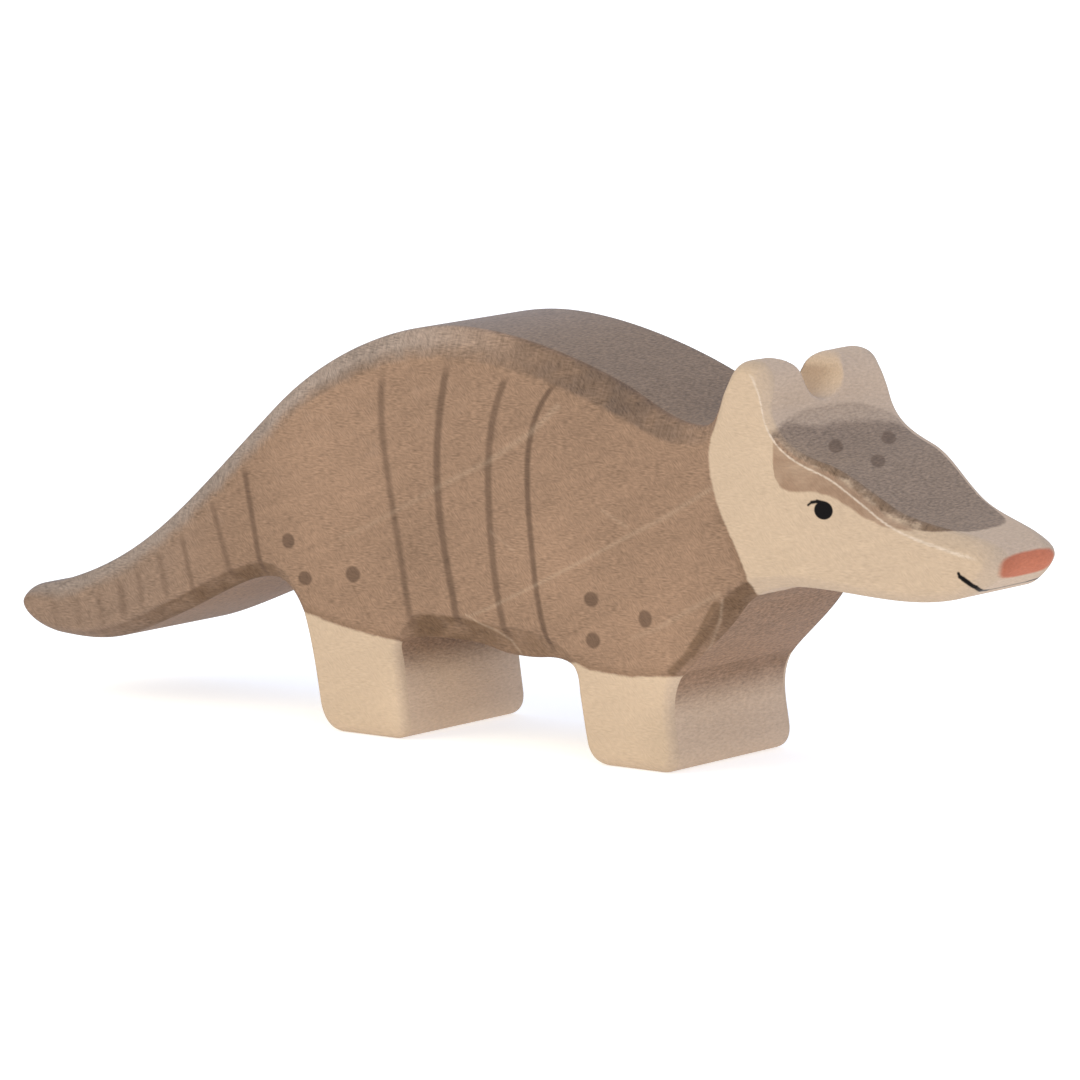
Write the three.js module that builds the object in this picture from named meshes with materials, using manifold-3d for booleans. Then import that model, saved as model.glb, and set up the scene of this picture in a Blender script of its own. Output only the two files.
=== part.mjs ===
// A toy armadillo sawn from one board of hardwood: +X to the nose, +Y to its left, +Z up, millimetres.
// The origin is the middle of the bounding box on the floor plane.
import * as THREE from 'three';
import { mergeVertices } from 'three/addons/utils/BufferGeometryUtils.js';
import Module from 'manifold-3d';

// ---- driving sizes -------------------------------------------------------------------------------
const BOARD = 28;             // thickness of the board
const LENGTH = 161;           // tail tip to nose
const BACK = 57.3;            // height of the back's crest
const BELLY = 14.4;           // height of the belly above the floor
const EAR_TOP = 56.3;         // height of the ears
const TAIL_TIP = 12.6;        // height of the tail's tip
const NOSE_TIP = 31.4;        // height of the nose's tip
const TAIL_END = -LENGTH / 2; // X of the tail's tip
const NOSE_END = LENGTH / 2;  // X of the nose's tip

const CHEEK_START = 55;       // X where the two sides of the snout begin to close in
const CHEEK_SLOPE = 0.226;    // how fast each side closes in, per millimetre of length
const CHEEK_BLEND = 3;        // length over which the side turns into the cheek

const GROOVE_RADIUS = 4.6;    // round groove that parts the two ears
const GROOVE_AXIS = 55.0;     // height of the groove's axis
const LIP_RADIUS = 2.6;       // rounding of the ears beside the groove
const GROOVE_SHIFT = -0.8;    // the hand-cut groove sits a little to the right of the middle

const STEP = 1.75;            // greatest spacing of points along the outline
const EASE = 2.4;               // reach over which one kind of edge fades into the next
const LAYERS = 3;             // facets across each worked edge

// How an edge of the board is worked: `rim` is how far the cut reaches over the side, `side` how deep
// it goes into the thickness, `round` is 0 for a flat chamfer and 1 for a full rounding.
const edge = (rim, side, round) => ({ rim, side, round });
const TAIL_UNDER = edge(2.4, 1.4, 0.3);
const LEG = edge(0.8, 0.8, 1);
const SOLE = edge(1.3, 1.2, 1);
const BELLY_DEEP = edge(4.0, 1.8, 0);
const BELLY_FORE = edge(3.4, 1.5, 0);
const CHEST = edge(2.8, 1.8, 0.1);
const JAW = edge(1.5, 1.4, 0.9);
const NOSE = edge(2.0, 4.6, 1);
const BRIDGE = edge(1.6, 1.6, 0.1);
const BROW = edge(0.9, 1.5, 0.1);
const FOREHEAD = edge(1.3, 1.3, 0.1);
const EAR = edge(1.1, 1.1, 0.8);
const EAR_DOME = edge(1.9, 3.2, 1);
const NECK = edge(3.0, 1.7, 0.2);
const CREST = edge(4.8, 1.8, 0.1);
const RUMP = edge(2.9, 1.6, 0.1);
const TAIL_ROOT = edge(2.5, 1.5, 0.2);
const TIP = edge(2.1, 2.3, 1);

// ---- side outline --------------------------------------------------------------------------------
// The outline runs counter-clockwise as seen from the right side of the animal.
class Outline {
  constructor(x, z, style) {
    this.pen = new THREE.Vector2(x, z);
    this.style = style;
    this.points = [];
  }

  // Samples a curve that starts at the pen; the edge style changes evenly along it.
  trace(curve, style) {
    const count = Math.max(4, Math.ceil(curve.getLength() / STEP));
    for (let i = 0; i < count; i += 1) {
      const t = i / count;
      const p = curve.getPointAt(t);
      const mix = (key) => THREE.MathUtils.lerp(this.style[key], style[key], t);
      this.points.push({ x: p.x, z: p.y, rim: mix('rim'), side: mix('side'), round: mix('round') });
    }
    this.pen = curve.getPointAt(1);
    this.style = style;
    return this;
  }

  line(x, z, style) {
    return this.trace(new THREE.LineCurve(this.pen, new THREE.Vector2(x, z)), style);
  }

  // One corner or bow with a single control point.
  bow(cx, cz, x, z, style) {
    const c = new THREE.Vector2(cx, cz);
    return this.trace(new THREE.QuadraticBezierCurve(this.pen, c, new THREE.Vector2(x, z)), style);
  }

  // A long sweep with two control points.
  sweep(ax, az, bx, bz, x, z, style) {
    const a = new THREE.Vector2(ax, az);
    const b = new THREE.Vector2(bx, bz);
    return this.trace(new THREE.CubicBezierCurve(this.pen, a, b, new THREE.Vector2(x, z)), style);
  }
}

function drawOutline() {
  const o = new Outline(TAIL_END, TAIL_TIP, TIP);
  // tail: tip and underside
  o.sweep(TAIL_END, TAIL_TIP - 1.6, TAIL_END + 2.7, TAIL_TIP - 3.4, TAIL_END + 6.7, TAIL_TIP - 3.9, TIP);
  o.sweep(-64.7, 7.9, -61.7, 9.3, -50, 14.4, TAIL_UNDER);
  o.sweep(-42.5, 18.1, -38.8, 20.4, -34.8, 20.3, TAIL_UNDER);
  // hind leg: back, heel, sole, toe and front
  o.bow(-31.6, 20.2, -29.1, 16, LEG);
  o.sweep(-27.9, 12.8, -26.9, 7.6, -26.3, 4, LEG);
  o.bow(-25.7, 0, -22.6, 0, SOLE);
  o.line(-14.2, 0, SOLE);
  o.bow(-11.2, 0, -11.4, 3, LEG);
  o.line(-12.8, 11.8, LEG);
  // belly: one deep chamfer behind, a second one in front
  o.bow(-13.1, BELLY - 0.3, -10.4, BELLY - 0.2, BELLY_DEEP);
  o.sweep(-7, BELLY + 0.3, -2.6, BELLY + 0.3, 0.5, BELLY, BELLY_DEEP);
  o.sweep(3.6, BELLY - 0.5, 6.5, BELLY - 1.6, 11.5, BELLY - 0.8, BELLY_FORE);
  // fore leg: back, heel, sole, toe and front
  o.bow(17, BELLY - 0.2, 17.7, 10.8, LEG);
  o.sweep(18.1, 8.3, 18.6, 5.4, 19, 3.4, LEG);
  o.bow(19.4, 0, 22.6, 0, SOLE);
  o.line(30.9, 0, SOLE);
  o.bow(33.8, 0, 33.6, 3, LEG);
  o.sweep(33.1, 6.6, 32, 9.6, 33.8, 12.9, LEG);
  // chest and throat
  o.sweep(35.6, 15.3, 40.8, 19.2, 43.2, 22.6, CHEST);
  o.bow(45.2, 25.5, 49, 26.4, CHEST);
  // jaw and nose
  o.sweep(57, 28.3, 66.6, 24.4, 75.5, 27, JAW);
  o.sweep(77.7, 27.7, NOSE_END, NOSE_TIP - 1.5, NOSE_END, NOSE_TIP, NOSE);
  o.sweep(NOSE_END, NOSE_TIP + 1.8, 79, NOSE_TIP + 2.7, 76.5, NOSE_TIP + 3.5, NOSE);
  // bridge of the snout, brow and forehead
  o.sweep(73.4, 35.8, 69.4, 36.3, 66.4, 38, BRIDGE);
  o.sweep(62.6, 40.3, 60.6, 42.8, 57, 43.8, BROW);
  o.sweep(52.9, 45.1, 50.4, 46.6, 49.4, 50.4, FOREHEAD);
  // ear: front, top and back
  o.sweep(49, 52.2, 49, EAR_TOP, 44.8, EAR_TOP, EAR_DOME);
  o.sweep(42.4, EAR_TOP, 42, 53.8, 41.2, 52, EAR);
  o.sweep(39.9, 49.4, 39.6, 47.1, 36.4, 47.1, EAR);
  // neck, back, rump and upper side of the tail
  o.sweep(32.4, 47.1, 29, 49.3, 25, 51.1, NECK);
  o.sweep(17.6, 54.2, 6.2, BACK, -3, BACK, CREST);
  o.sweep(-14, BACK, -26.4, 51.9, -35, 44, RUMP);
  o.sweep(-51.2, 29.1, -57.5, 21.3, -72.9, 16.45, TAIL_ROOT);
  o.sweep(-76, 15.5, TAIL_END, 15.2, TAIL_END, TAIL_TIP, TIP);
  return o.points;
}

// Averages the edge sizes over a short reach, so that one kind of edge fades into the next.
function easeEdges(points, reach) {
  const n = points.length;
  return points.map((p, i) => {
    const sum = { rim: 0, side: 0, round: 0 };
    let weight = 0;
    for (let k = -6; k <= 6; k += 1) {
      const q = points[(i + k + n) % n];
      const w = Math.max(0, 1 - Math.hypot(q.x - p.x, q.z - p.z) / reach);
      for (const key of Object.keys(sum)) sum[key] += w * q[key];
      weight += w;
    }
    return { ...p, rim: sum.rim / weight, side: sum.side / weight, round: sum.round / weight };
  });
}

// Adds the outward direction of each point, taken from its two neighbours.
function addNormals(points) {
  const n = points.length;
  return points.map((p, i) => {
    const a = points[(i + n - 1) % n];
    const b = points[(i + 1) % n];
    const d = Math.hypot(b.x - a.x, b.z - a.z);
    return { ...p, nx: (b.z - a.z) / d, nz: (a.x - b.x) / d };
  });
}

// ---- solid ---------------------------------------------------------------------------------------
// Half of the thickness at a given X: the full board, closing in at an even slope along the snout.
function halfWidth(x) {
  const u = x - CHEEK_START;
  const blend = (u + Math.sqrt(u * u + CHEEK_BLEND * CHEEK_BLEND)) / 2;
  return BOARD / 2 - CHEEK_SLOPE * (x < CHEEK_START - 8 ? 0 : blend);
}

// One closed ring of the worked edge: layer 0 lies on the side face, the last on the sawn outline.
function ring(outline, layer, hand) {
  const t = layer / LAYERS;
  return outline.map((p) => {
    const inset = p.rim * THREE.MathUtils.lerp(1 - t, 1 - Math.sin(t * Math.PI / 2), p.round);
    const depth = p.side * THREE.MathUtils.lerp(t, 1 - Math.cos(t * Math.PI / 2), p.round);
    const x = p.x - p.nx * inset;
    return new THREE.Vector3(x, hand * (halfWidth(x) - depth), p.z - p.nz * inset);
  });
}

// Splits the side face by upright rungs, so that the curved start of the cheek is followed.
function sidePanels(face) {
  const nearest = (x, upper) => {
    let best = -1;
    face.forEach((p, i) => {
      const isUpper = p.z > 31.5;
      if (isUpper === upper && (best < 0 || Math.abs(p.x - x) < Math.abs(face[best].x - x))) best = i;
    });
    return best;
  };
  const panels = [];
  const order = face.map((_, i) => i);
  let rest = order;
  for (const x of [46.5, 49, 51.5, 53.5, 55, 56.5, 58.5, 61, 64.5]) {
    const lower = nearest(x, false);
    const upper = nearest(x, true);
    const from = rest.indexOf(lower);
    const to = rest.indexOf(upper);
    panels.push([...rest.slice(0, from + 1), ...rest.slice(to)]);
    rest = rest.slice(from, to + 1);
  }
  panels.push(rest);
  return panels;
}

function buildBoard() {
  const outline = addNormals(easeEdges(drawOutline(), EASE));
  const n = outline.length;
  const rings = [];
  for (let k = 0; k <= LAYERS; k += 1) rings.push(ring(outline, k, -1));
  for (let k = LAYERS; k >= 0; k -= 1) rings.push(ring(outline, k, 1));
  const position = rings.flat().flatMap((p) => [p.x, p.y, p.z]);
  const index = [];
  for (let r = 0; r + 1 < rings.length; r += 1) {
    for (let i = 0; i < n; i += 1) {
      const j = (i + 1) % n;
      const [a, b, c, d] = [r * n + i, r * n + j, (r + 1) * n + i, (r + 1) * n + j];
      index.push(a, c, b, b, c, d);
    }
  }
  const last = (rings.length - 1) * n;
  for (const panel of sidePanels(rings[0])) {
    const flat = panel.map((i) => new THREE.Vector2(rings[0][i].x, rings[0][i].z));
    for (const [a, b, c] of THREE.ShapeUtils.triangulateShape(flat, [])) {
      index.push(panel[a], panel[b], panel[c]);
      index.push(last + panel[a], last + panel[c], last + panel[b]);
    }
  }
  const geometry = new THREE.BufferGeometry();
  geometry.setAttribute('position', new THREE.Float32BufferAttribute(position, 3));
  geometry.setIndex(index);
  return geometry;
}

// The groove between the ears: a round-bottomed channel along X whose lips flare outwards.
function buildGroove() {
  const shape = new THREE.Shape();
  const flare = GROOVE_RADIUS + LIP_RADIUS;
  const lip = EAR_TOP - LIP_RADIUS - 0.1;
  const open = Math.asin((GROOVE_AXIS - lip) / GROOVE_RADIUS);
  const wall = GROOVE_RADIUS * Math.cos(open);
  shape.moveTo(-flare, EAR_TOP + 6);
  shape.lineTo(-flare - 1, EAR_TOP + 0.05);
  shape.quadraticCurveTo(-wall - 0.15, EAR_TOP, -wall, lip);
  shape.absarc(0, GROOVE_AXIS, GROOVE_RADIUS, Math.PI + open, 2 * Math.PI - open, false);
  shape.quadraticCurveTo(wall + 0.15, EAR_TOP, flare + 1, EAR_TOP + 0.05);
  shape.lineTo(flare, EAR_TOP + 6);
  shape.closePath();
  const length = 30;
  const channel = new THREE.ExtrudeGeometry(shape, { depth: length, bevelEnabled: false, curveSegments: 12 });
  // shape X becomes the part's Y, shape Y its Z and the extrusion its X
  const turn = new THREE.Matrix4().makeBasis(
    new THREE.Vector3(0, 1, 0), new THREE.Vector3(0, 0, 1), new THREE.Vector3(1, 0, 0));
  channel.applyMatrix4(turn);
  channel.translate(45 - length / 2, GROOVE_SHIFT, 0);
  return channel;
}

// ---- joining and cutting -------------------------------------------------------------------------
const wasm = await Module();
wasm.setup();

function toManifold(geometry) {
  const bare = new THREE.BufferGeometry();
  bare.setAttribute('position', geometry.getAttribute('position').clone());
  if (geometry.index) bare.setIndex(geometry.index.clone());
  const merged = mergeVertices(bare, 1e-4);
  return new wasm.Manifold(new wasm.Mesh({
    numProp: 3,
    vertProperties: new Float32Array(merged.getAttribute('position').array),
    triVerts: new Uint32Array(merged.index.array),
  }));
}

function toGeometry(solid) {
  const mesh = solid.getMesh();
  const geometry = new THREE.BufferGeometry();
  geometry.setAttribute('position', new THREE.BufferAttribute(new Float32Array(mesh.vertProperties), 3));
  geometry.setIndex(new THREE.BufferAttribute(new Uint32Array(mesh.triVerts), 1));
  geometry.computeVertexNormals();
  return geometry;
}

const solid = toManifold(buildBoard()).subtract(toManifold(buildGroove()));

const wood = new THREE.MeshStandardMaterial({ color: 0xa88a69, roughness: 0.62, metalness: 0 });
const board = new THREE.Mesh(toGeometry(solid), wood);
board.name = 'armadillo_board';

const group = new THREE.Group();
group.name = 'toy_armadillo';
group.add(board);

export default group;
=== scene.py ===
"""A toy armadillo sawn from one board of pale hardwood, sanded, stained and painted by hand.

The part's own frame is used throughout: +X to the nose, +Y to the animal's left, +Z up, soles on the floor.
Sizes in the classes are in millimetres; meshes, lights and the camera are made in metres.
"""

import logging
import math
from dataclasses import astuple, dataclass, field
from enum import Enum
from functools import reduce
from typing import Sequence

import bpy
import numpy as np
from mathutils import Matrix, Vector
from mathutils.bvhtree import BVHTree
from mathutils.geometry import delaunay_2d_cdt


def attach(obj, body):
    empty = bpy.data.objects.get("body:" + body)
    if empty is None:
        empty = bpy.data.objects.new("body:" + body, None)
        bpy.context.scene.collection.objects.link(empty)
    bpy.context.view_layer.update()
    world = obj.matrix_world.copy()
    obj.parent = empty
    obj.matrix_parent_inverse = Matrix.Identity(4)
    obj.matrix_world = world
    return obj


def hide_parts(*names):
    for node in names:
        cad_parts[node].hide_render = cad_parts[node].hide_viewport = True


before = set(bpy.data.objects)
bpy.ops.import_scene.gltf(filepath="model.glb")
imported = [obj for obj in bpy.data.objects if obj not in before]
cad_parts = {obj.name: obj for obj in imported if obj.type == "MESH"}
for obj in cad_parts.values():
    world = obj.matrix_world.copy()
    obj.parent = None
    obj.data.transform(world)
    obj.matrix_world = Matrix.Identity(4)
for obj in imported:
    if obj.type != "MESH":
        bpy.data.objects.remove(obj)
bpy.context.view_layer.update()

MM = 0.001  # one millimetre in metres
BOARD_NODE = "armadillo_board"  # the CAD solid that the drawn board stands for
PIECE = "armadillo_wood"
BAKE_MAP = "OFBake"
MARKS = ("across", "rub_and_highlight", "soak_and_shade")  # what the mesh tells the finish about its worked edges
GROOVE_Y = -0.8  # Y of the middle of the groove between the ears
SIDE_Y = -14.0  # Y of the right side face
MID_HEIGHT = 30.0  # height about which the lines down the side are fitted
NOISE_GAIN = 3.4  # spreads a noise of 0 to 1 to about -1 to 1

Point = tuple[float, float]
Triple = tuple[float, float, float]
Colour = Triple

log = logging.getLogger("toy_armadillo")


def rise(value: np.ndarray, start: float, end: float) -> np.ndarray:
    """Rises evenly from 0 at start to 1 at end; start may be the greater one."""
    return np.clip((value - start) / (end - start), 0, 1)


def smooth(share: np.ndarray) -> np.ndarray:
    """Rounds off both ends of an even rise."""
    return share * share * (3 - 2 * share)


def way(p: np.ndarray) -> np.ndarray:
    """Length along a run of points up to each of them."""
    return np.concatenate([[0], np.cumsum(np.hypot(*np.diff(p, axis=0).T))])


def evenly(p: np.ndarray, pieces: int) -> np.ndarray:
    """Cuts a run of points into even pieces.

    Args:
        p: The run's points.
        pieces: How many pieces to cut.

    Returns:
        The ends of the pieces, one more than there are pieces.
    """
    run = way(p)
    s = np.linspace(0, run[-1], pieces + 1)
    return np.stack([np.interp(s, run, p[:, 0]), np.interp(s, run, p[:, 1])], axis=1)


# ---- edges and outline ---------------------------------------------------------------------------


@dataclass(frozen=True)
class Edge:
    """How one stretch of the board's edge is worked.

    Args:
        rim: How far the cut reaches over the side face.
        side: How deep the cut goes into the thickness.
        round: 0 for a flat chamfer, 1 for a full rounding.
        soft: Size of the sanded corner on either side of a flat chamfer.
        rub_and_highlight: How far the paint is rubbed off where the chamfer meets the side face, and how
            strong the painted highlight along that edge is.
        crease: How far it is rubbed off, and painted pale as a highlight, where the chamfer meets the sawn
            face.
        soak_and_shade: How much darker the chamfer is than the side face: more stain sank in, and on the
            facets that face down it is painted shade.
    """

    rim: float
    side: float
    round: float = 0.0
    soft: float = 0.4
    rub_and_highlight: float = 0.0
    crease: float = 0.0
    soak_and_shade: float = 0.0


class Worked(Enum):
    """The kinds of worked edge, named by the part of the animal they run along."""

    TAIL_UNDER = Edge(2.4, 1.4, 0.1, 0.35, 0.0, 0.0, 0.9)
    LEG = Edge(0.9, 0.9, 1.0, 0.3)
    SHIN = Edge(1.4, 1.6, 1.0, 0.3)
    SOLE = Edge(1.9, 1.9, 1.0, 0.3)
    BELLY_DEEP = Edge(3.8, 1.8, 0.0, 0.3, 0.1, 0.0, 1.0)
    BELLY_MID = Edge(4.3, 1.8, 0.0, 0.4, 0.0, 0.0, 0.55)
    BELLY_FORE = Edge(4.4, 1.7, 0.0, 0.35, 0.0, 0.0, 0.52)
    BELLY_END = Edge(1.6, 1.1, 0.3, 0.35, 0.0, 0.0, 0.3)
    CHEST = Edge(2.8, 1.8, 0.0, 0.35, 0.0, 0.25, 1.0)
    THROAT = Edge(1.9, 1.8, 0.2, 0.4, 0.0, 0.2, 0.9)
    JAW = Edge(1.5, 1.4, 0.9, 0.4)
    NOSE = Edge(1.75, 4.6, 1.0, 0.4)
    SNOUT = Edge(2.5, 3.6, 0.7, 0.4, 0.85)
    BRIDGE = Edge(1.6, 1.7, 0.0, 0.3, 0.9, 0.0, 0.6)
    BROW = Edge(1.15, 1.1, 0.0, 0.25, 1.0, 0.0, 0.9)
    FOREHEAD = Edge(0.75, 0.9, 0.0, 0.25, 0.95, 0.0, 0.5)
    EAR_FRONT = Edge(2.0, 2.5, 0.5, 0.3, 0.9)
    EAR_DOME = Edge(1.9, 2.9, 1.0, 0.4, 0.2)
    EAR = Edge(1.0, 1.0, 0.7, 0.4, 0.2)
    NAPE = Edge(3.4, 1.8, 0.3, 0.5, 0.0, 0.0, 0.5)
    NECK = Edge(4.4, 2.0, 0.2, 0.5, 0.0, 0.0, 0.9)
    CREST = Edge(4.9, 1.8, 0.0, 0.45, 0.0, 0.0, 0.14)
    RUMP = Edge(4.0, 1.8, 0.1, 0.5)
    TAIL_ROOT = Edge(3.5, 1.8, 0.2, 0.5)
    TIP = Edge(1.75, 4.0, 1.0, 0.4)


@dataclass
class Outline:
    """A closed outline in X and Z, drawn counter-clockwise as seen from the animal's right side.

    Args:
        start: The first point.
        kind: The kind of edge at the first point.
        step: Spacing of points on long curves.
        fine: Spacing of points on corners.
    """

    start: Point
    kind: Worked
    step: float = 0.8
    fine: float = 0.42
    points: list[Point] = field(default_factory=list)
    edges: list[np.ndarray] = field(default_factory=list)

    def __post_init__(self) -> None:
        """Puts the pen at the start."""
        self.pen = self.start
        self.at_pen = self.kind

    @staticmethod
    def _values(kind: Worked) -> np.ndarray:
        """The numbers of a kind of edge, in the order of its fields."""
        return np.array(astuple(kind.value))

    def _trace(self, control: Sequence[Point], kind: Worked, step: float) -> None:
        """Samples one Bezier curve from the pen at even spacing; the edge changes evenly along it.

        Args:
            control: The curve's control points after the pen; the last one is its end.
            kind: The kind of edge at the curve's end.
            step: The greatest spacing of points.
        """
        p = np.array([self.pen, *control], float)[None]
        t = np.linspace(0, 1, 241)[:, None, None]
        for _ in control:
            p = p[:, :-1] * (1 - t) + p[:, 1:] * t
        curve = p[:, 0]
        count = max(4, math.ceil(way(curve)[-1] / step))
        start, end = self._values(self.at_pen), self._values(kind)
        for i, point in enumerate(evenly(curve, count)[:-1]):
            self.points.append(tuple(point))
            self.edges.append(start + (end - start) * i / count)
        self.pen, self.at_pen = control[-1], kind

    def line(self, x: float, z: float, kind: Worked) -> None:
        """Draws a straight line to (x, z)."""
        self._trace([(x, z)], kind, self.step)

    def bow(self, cx: float, cz: float, x: float, z: float, kind: Worked) -> None:
        """Draws a corner or bow to (x, z) with one control point."""
        self._trace([(cx, cz), (x, z)], kind, self.fine)

    def sweep(self, ax: float, az: float, bx: float, bz: float, x: float, z: float, kind: Worked) -> None:
        """Draws a long sweep to (x, z) with two control points."""
        self._trace([(ax, az), (bx, bz), (x, z)], kind, self.step)

    def curl(self, ax: float, az: float, bx: float, bz: float, x: float, z: float, kind: Worked) -> None:
        """Draws a tight sweep to (x, z) with two control points, more finely sampled."""
        self._trace([(ax, az), (bx, bz), (x, z)], kind, self.fine)


# ---- the body ------------------------------------------------------------------------------------


@dataclass
class SawnArmadillo:
    """The whole toy: one board sawn to the animal's outline, with worked edges and a groove between the ears.

    Args:
        board: Thickness of the board.
        length: Tail tip to nose.
        back: Height of the back's crest.
        belly: Height of the belly above the floor.
        ear_top: Height of the ears.
        ears: X of the ears' rear and front ends, and the height from which the groove can part them.
        tail_tip: Height of the tail's tip.
        tail_worn: How much of the tail's tip is sanded away.
        nose_tip: Height of the nose's tip.
        cheek_start: X where the two sides of the snout begin to close in.
        cheek_slope: How fast each side closes in.
        cheek_blend: Length over which the side turns into the cheek.
        groove_radius: Radius of the round groove that parts the ears.
        groove_axis: Height of the groove's axis.
        groove_shift: How far the groove sits from the middle.
        lip_radius: Rounding of the ears beside the groove.
        left_ear_drop: How much lower the left ear is than the right one.
        right_brow_back: How much further back the right edge of the forehead lies than the left one.
        ease: Reach over which one kind of edge fades into the next.
        layers: Facets across each worked edge.
        side_mesh: Spacing of the points inside the side faces.
        sheet: Size of the flat sheet on which the bake map is laid out.
        sheet_sides: Where the side faces lie on it: their left margin, the right one's foot, the left one's.
        sheet_strips: Where the strips of the sawn face lie on it: left margin, first middle line, spacing.
        strips: Pieces into which the map cuts the sawn face.
    """

    board: float = 28.0
    length: float = 161.0
    back: float = 57.3
    belly: float = 14.4
    ear_top: float = 56.3
    ears: Triple = (37.5, 50.6, 47.3)
    tail_tip: float = 13.0
    tail_worn: float = 0.35
    nose_tip: float = 31.4
    cheek_start: float = 55.0
    cheek_slope: float = 0.226
    cheek_blend: float = 3.0
    groove_radius: float = 4.6
    groove_axis: float = 55.0
    groove_shift: float = GROOVE_Y
    lip_radius: float = 2.6
    left_ear_drop: float = 0.4
    right_brow_back: float = 0.95
    ease: float = 1.3
    layers: int = 12
    side_mesh: float = 1.05
    sheet: float = 219.0
    sheet_sides: Triple = (6.0, 3.0, 66.5)
    sheet_strips: Triple = (2.0, 144.1, 29.6)
    strips: int = 3

    def outline(self) -> Outline:
        """Draws the sawn outline.

        Returns:
            The outline with the kind of edge at each point.
        """
        w = Worked
        tail, nose = -self.length / 2, self.length / 2
        tip, snout, ear, back, belly = self.tail_tip, self.nose_tip, self.ear_top, self.back, self.belly
        tail += self.tail_worn
        o = Outline((tail, tip), w.TIP)
        # tail: tip and underside
        o.curl(tail, tip - 1.8, tail + 2.4, tip - 3.7, -73.8, tip - 4.3, w.TIP)
        o.sweep(-64.7, 7.9, -61.7, 9.3, -50, 14.4, w.TAIL_UNDER)
        o.sweep(-42.5, 18.1, -38.8, 20.4, -34.8, 20.3, w.TAIL_UNDER)
        # hind leg: back, heel, sole, toe and front
        o.bow(-31.6, 20.2, -29.1, 16, w.LEG)
        o.sweep(-27.9, 12.8, -26.9, 7.6, -26.3, 4, w.LEG)
        o.bow(-25.7, 0, -22.6, 0, w.SOLE)
        o.line(-14.2, 0, w.SOLE)
        o.bow(-11.2, 0, -11.4, 3, w.SHIN)
        o.line(-12.7, 11.6, w.SHIN)
        o.bow(-12.95, 13.3, -12.2, 13.8, w.LEG)
        # belly: one deep chamfer behind, a second one in front
        o.bow(-11.6, belly - 0.3, -10, belly - 0.2, w.BELLY_DEEP)
        o.sweep(-7, belly + 0.2, -2.6, belly + 0.2, 0.5, belly - 0.1, w.BELLY_DEEP)
        o.sweep(1.9, belly - 0.3, 3.3, belly - 0.8, 5, belly - 1, w.BELLY_MID)
        o.sweep(6.4, belly - 1.1, 9, belly - 1.2, 11, belly - 0.9, w.BELLY_FORE)
        o.bow(14.6, belly - 0.4, 16.4, 12.9, w.BELLY_END)
        # fore leg: back, heel, sole, toe and front
        o.bow(17.4, 12, 17.7, 10.2, w.LEG)
        o.sweep(18.1, 8, 18.6, 5.4, 19, 3.4, w.LEG)
        o.bow(19.4, 0, 22.6, 0, w.SOLE)
        o.line(30.9, 0, w.SOLE)
        o.bow(33.8, 0, 33.6, 3, w.SHIN)
        o.curl(33.1, 6.6, 32, 9.6, 33.8, 12.9, w.SHIN)
        # chest and throat
        o.sweep(35.6, 15.3, 40.8, 19.2, 43.2, 22.6, w.CHEST)
        o.bow(45.2, 25.5, 49, 26.4, w.THROAT)
        # jaw and nose
        o.sweep(57, 28.3, 66.6, 24.4, 75.5, 27, w.JAW)
        o.curl(77.7, 27.7, nose, snout - 1.5, nose, snout, w.NOSE)
        o.curl(nose, snout + 1.8, 79, snout + 2.7, 76.5, snout + 3.5, w.SNOUT)
        # bridge of the snout, brow and forehead
        o.sweep(73.4, 35.8, 69.4, 36.3, 66.4, 38, w.BRIDGE)
        o.sweep(62.6, 40.3, 60.6, 42.8, 57, 43.8, w.BROW)
        o.curl(52.9, 45.1, 50.4, 46.6, 49.4, 50.4, w.FOREHEAD)
        # ear: front, top and back
        o.curl(49.2, 51.3, 49.1, 52.8, 48.5, ear - 2.3, w.EAR_FRONT)
        o.curl(47.9, ear - 1, 46.9, ear, 44.8, ear, w.EAR_DOME)
        o.curl(42.4, ear, 42, 53.8, 41.2, 52, w.EAR)
        o.curl(39.9, 49.4, 39.6, 47.1, 36.4, 47.1, w.NAPE)
        # neck, back, rump and upper side of the tail
        o.sweep(32.4, 47.1, 29, 49.3, 25, 51.1, w.NECK)
        o.sweep(17.6, 54.2, 6.2, back, -3, back, w.CREST)
        o.sweep(-14, back, -26.4, 51.9, -35, 44, w.RUMP)
        o.sweep(-51.2, 29.1, -57.5, 21.3, -72.9, 16.45, w.TAIL_ROOT)
        o.curl(-76, 15.5, tail, tip + 2.7, tail, tip, w.TIP)
        return o

    def half_width(self, x: np.ndarray) -> np.ndarray:
        """Half of the thickness at each X: the full board, closing in at an even slope along the snout."""
        u = x - self.cheek_start
        return self.board / 2 - self.cheek_slope * (u + np.sqrt(u * u + self.cheek_blend**2)) / 2

    @staticmethod
    def _run(p: np.ndarray) -> np.ndarray:
        """Length along a closed run of points, with the full length as one more value at the end."""
        return way(np.concatenate([p, p[:1]]))

    def _eased(self, p: np.ndarray, edges: np.ndarray) -> np.ndarray:
        """Averages the edge sizes over a short reach.

        Args:
            p: The outline's points.
            edges: The edge's numbers at each point.

        Returns:
            The eased numbers.
        """
        run = self._run(p)
        gap = np.abs(run[:-1, None] - run[None, :-1])
        gap = np.minimum(gap, run[-1] - gap)
        weight = np.clip(1 - gap / self.ease, 0, None)
        return weight @ edges / weight.sum(1)[:, None]

    @staticmethod
    def _normals(p: np.ndarray) -> np.ndarray:
        """Finds the way out of the wood along the outline.

        Args:
            p: The outline's points.

        Returns:
            The outward direction in X and Z at each point, eased over its neighbours.
        """
        d = np.roll(p, -1, axis=0) - np.roll(p, 1, axis=0)
        n = np.stack([d[:, 1], -d[:, 0]], axis=1)
        n = n + 0.5 * (np.roll(n, 1, axis=0) + np.roll(n, -1, axis=0))
        return n / np.linalg.norm(n, axis=1)[:, None]

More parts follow.
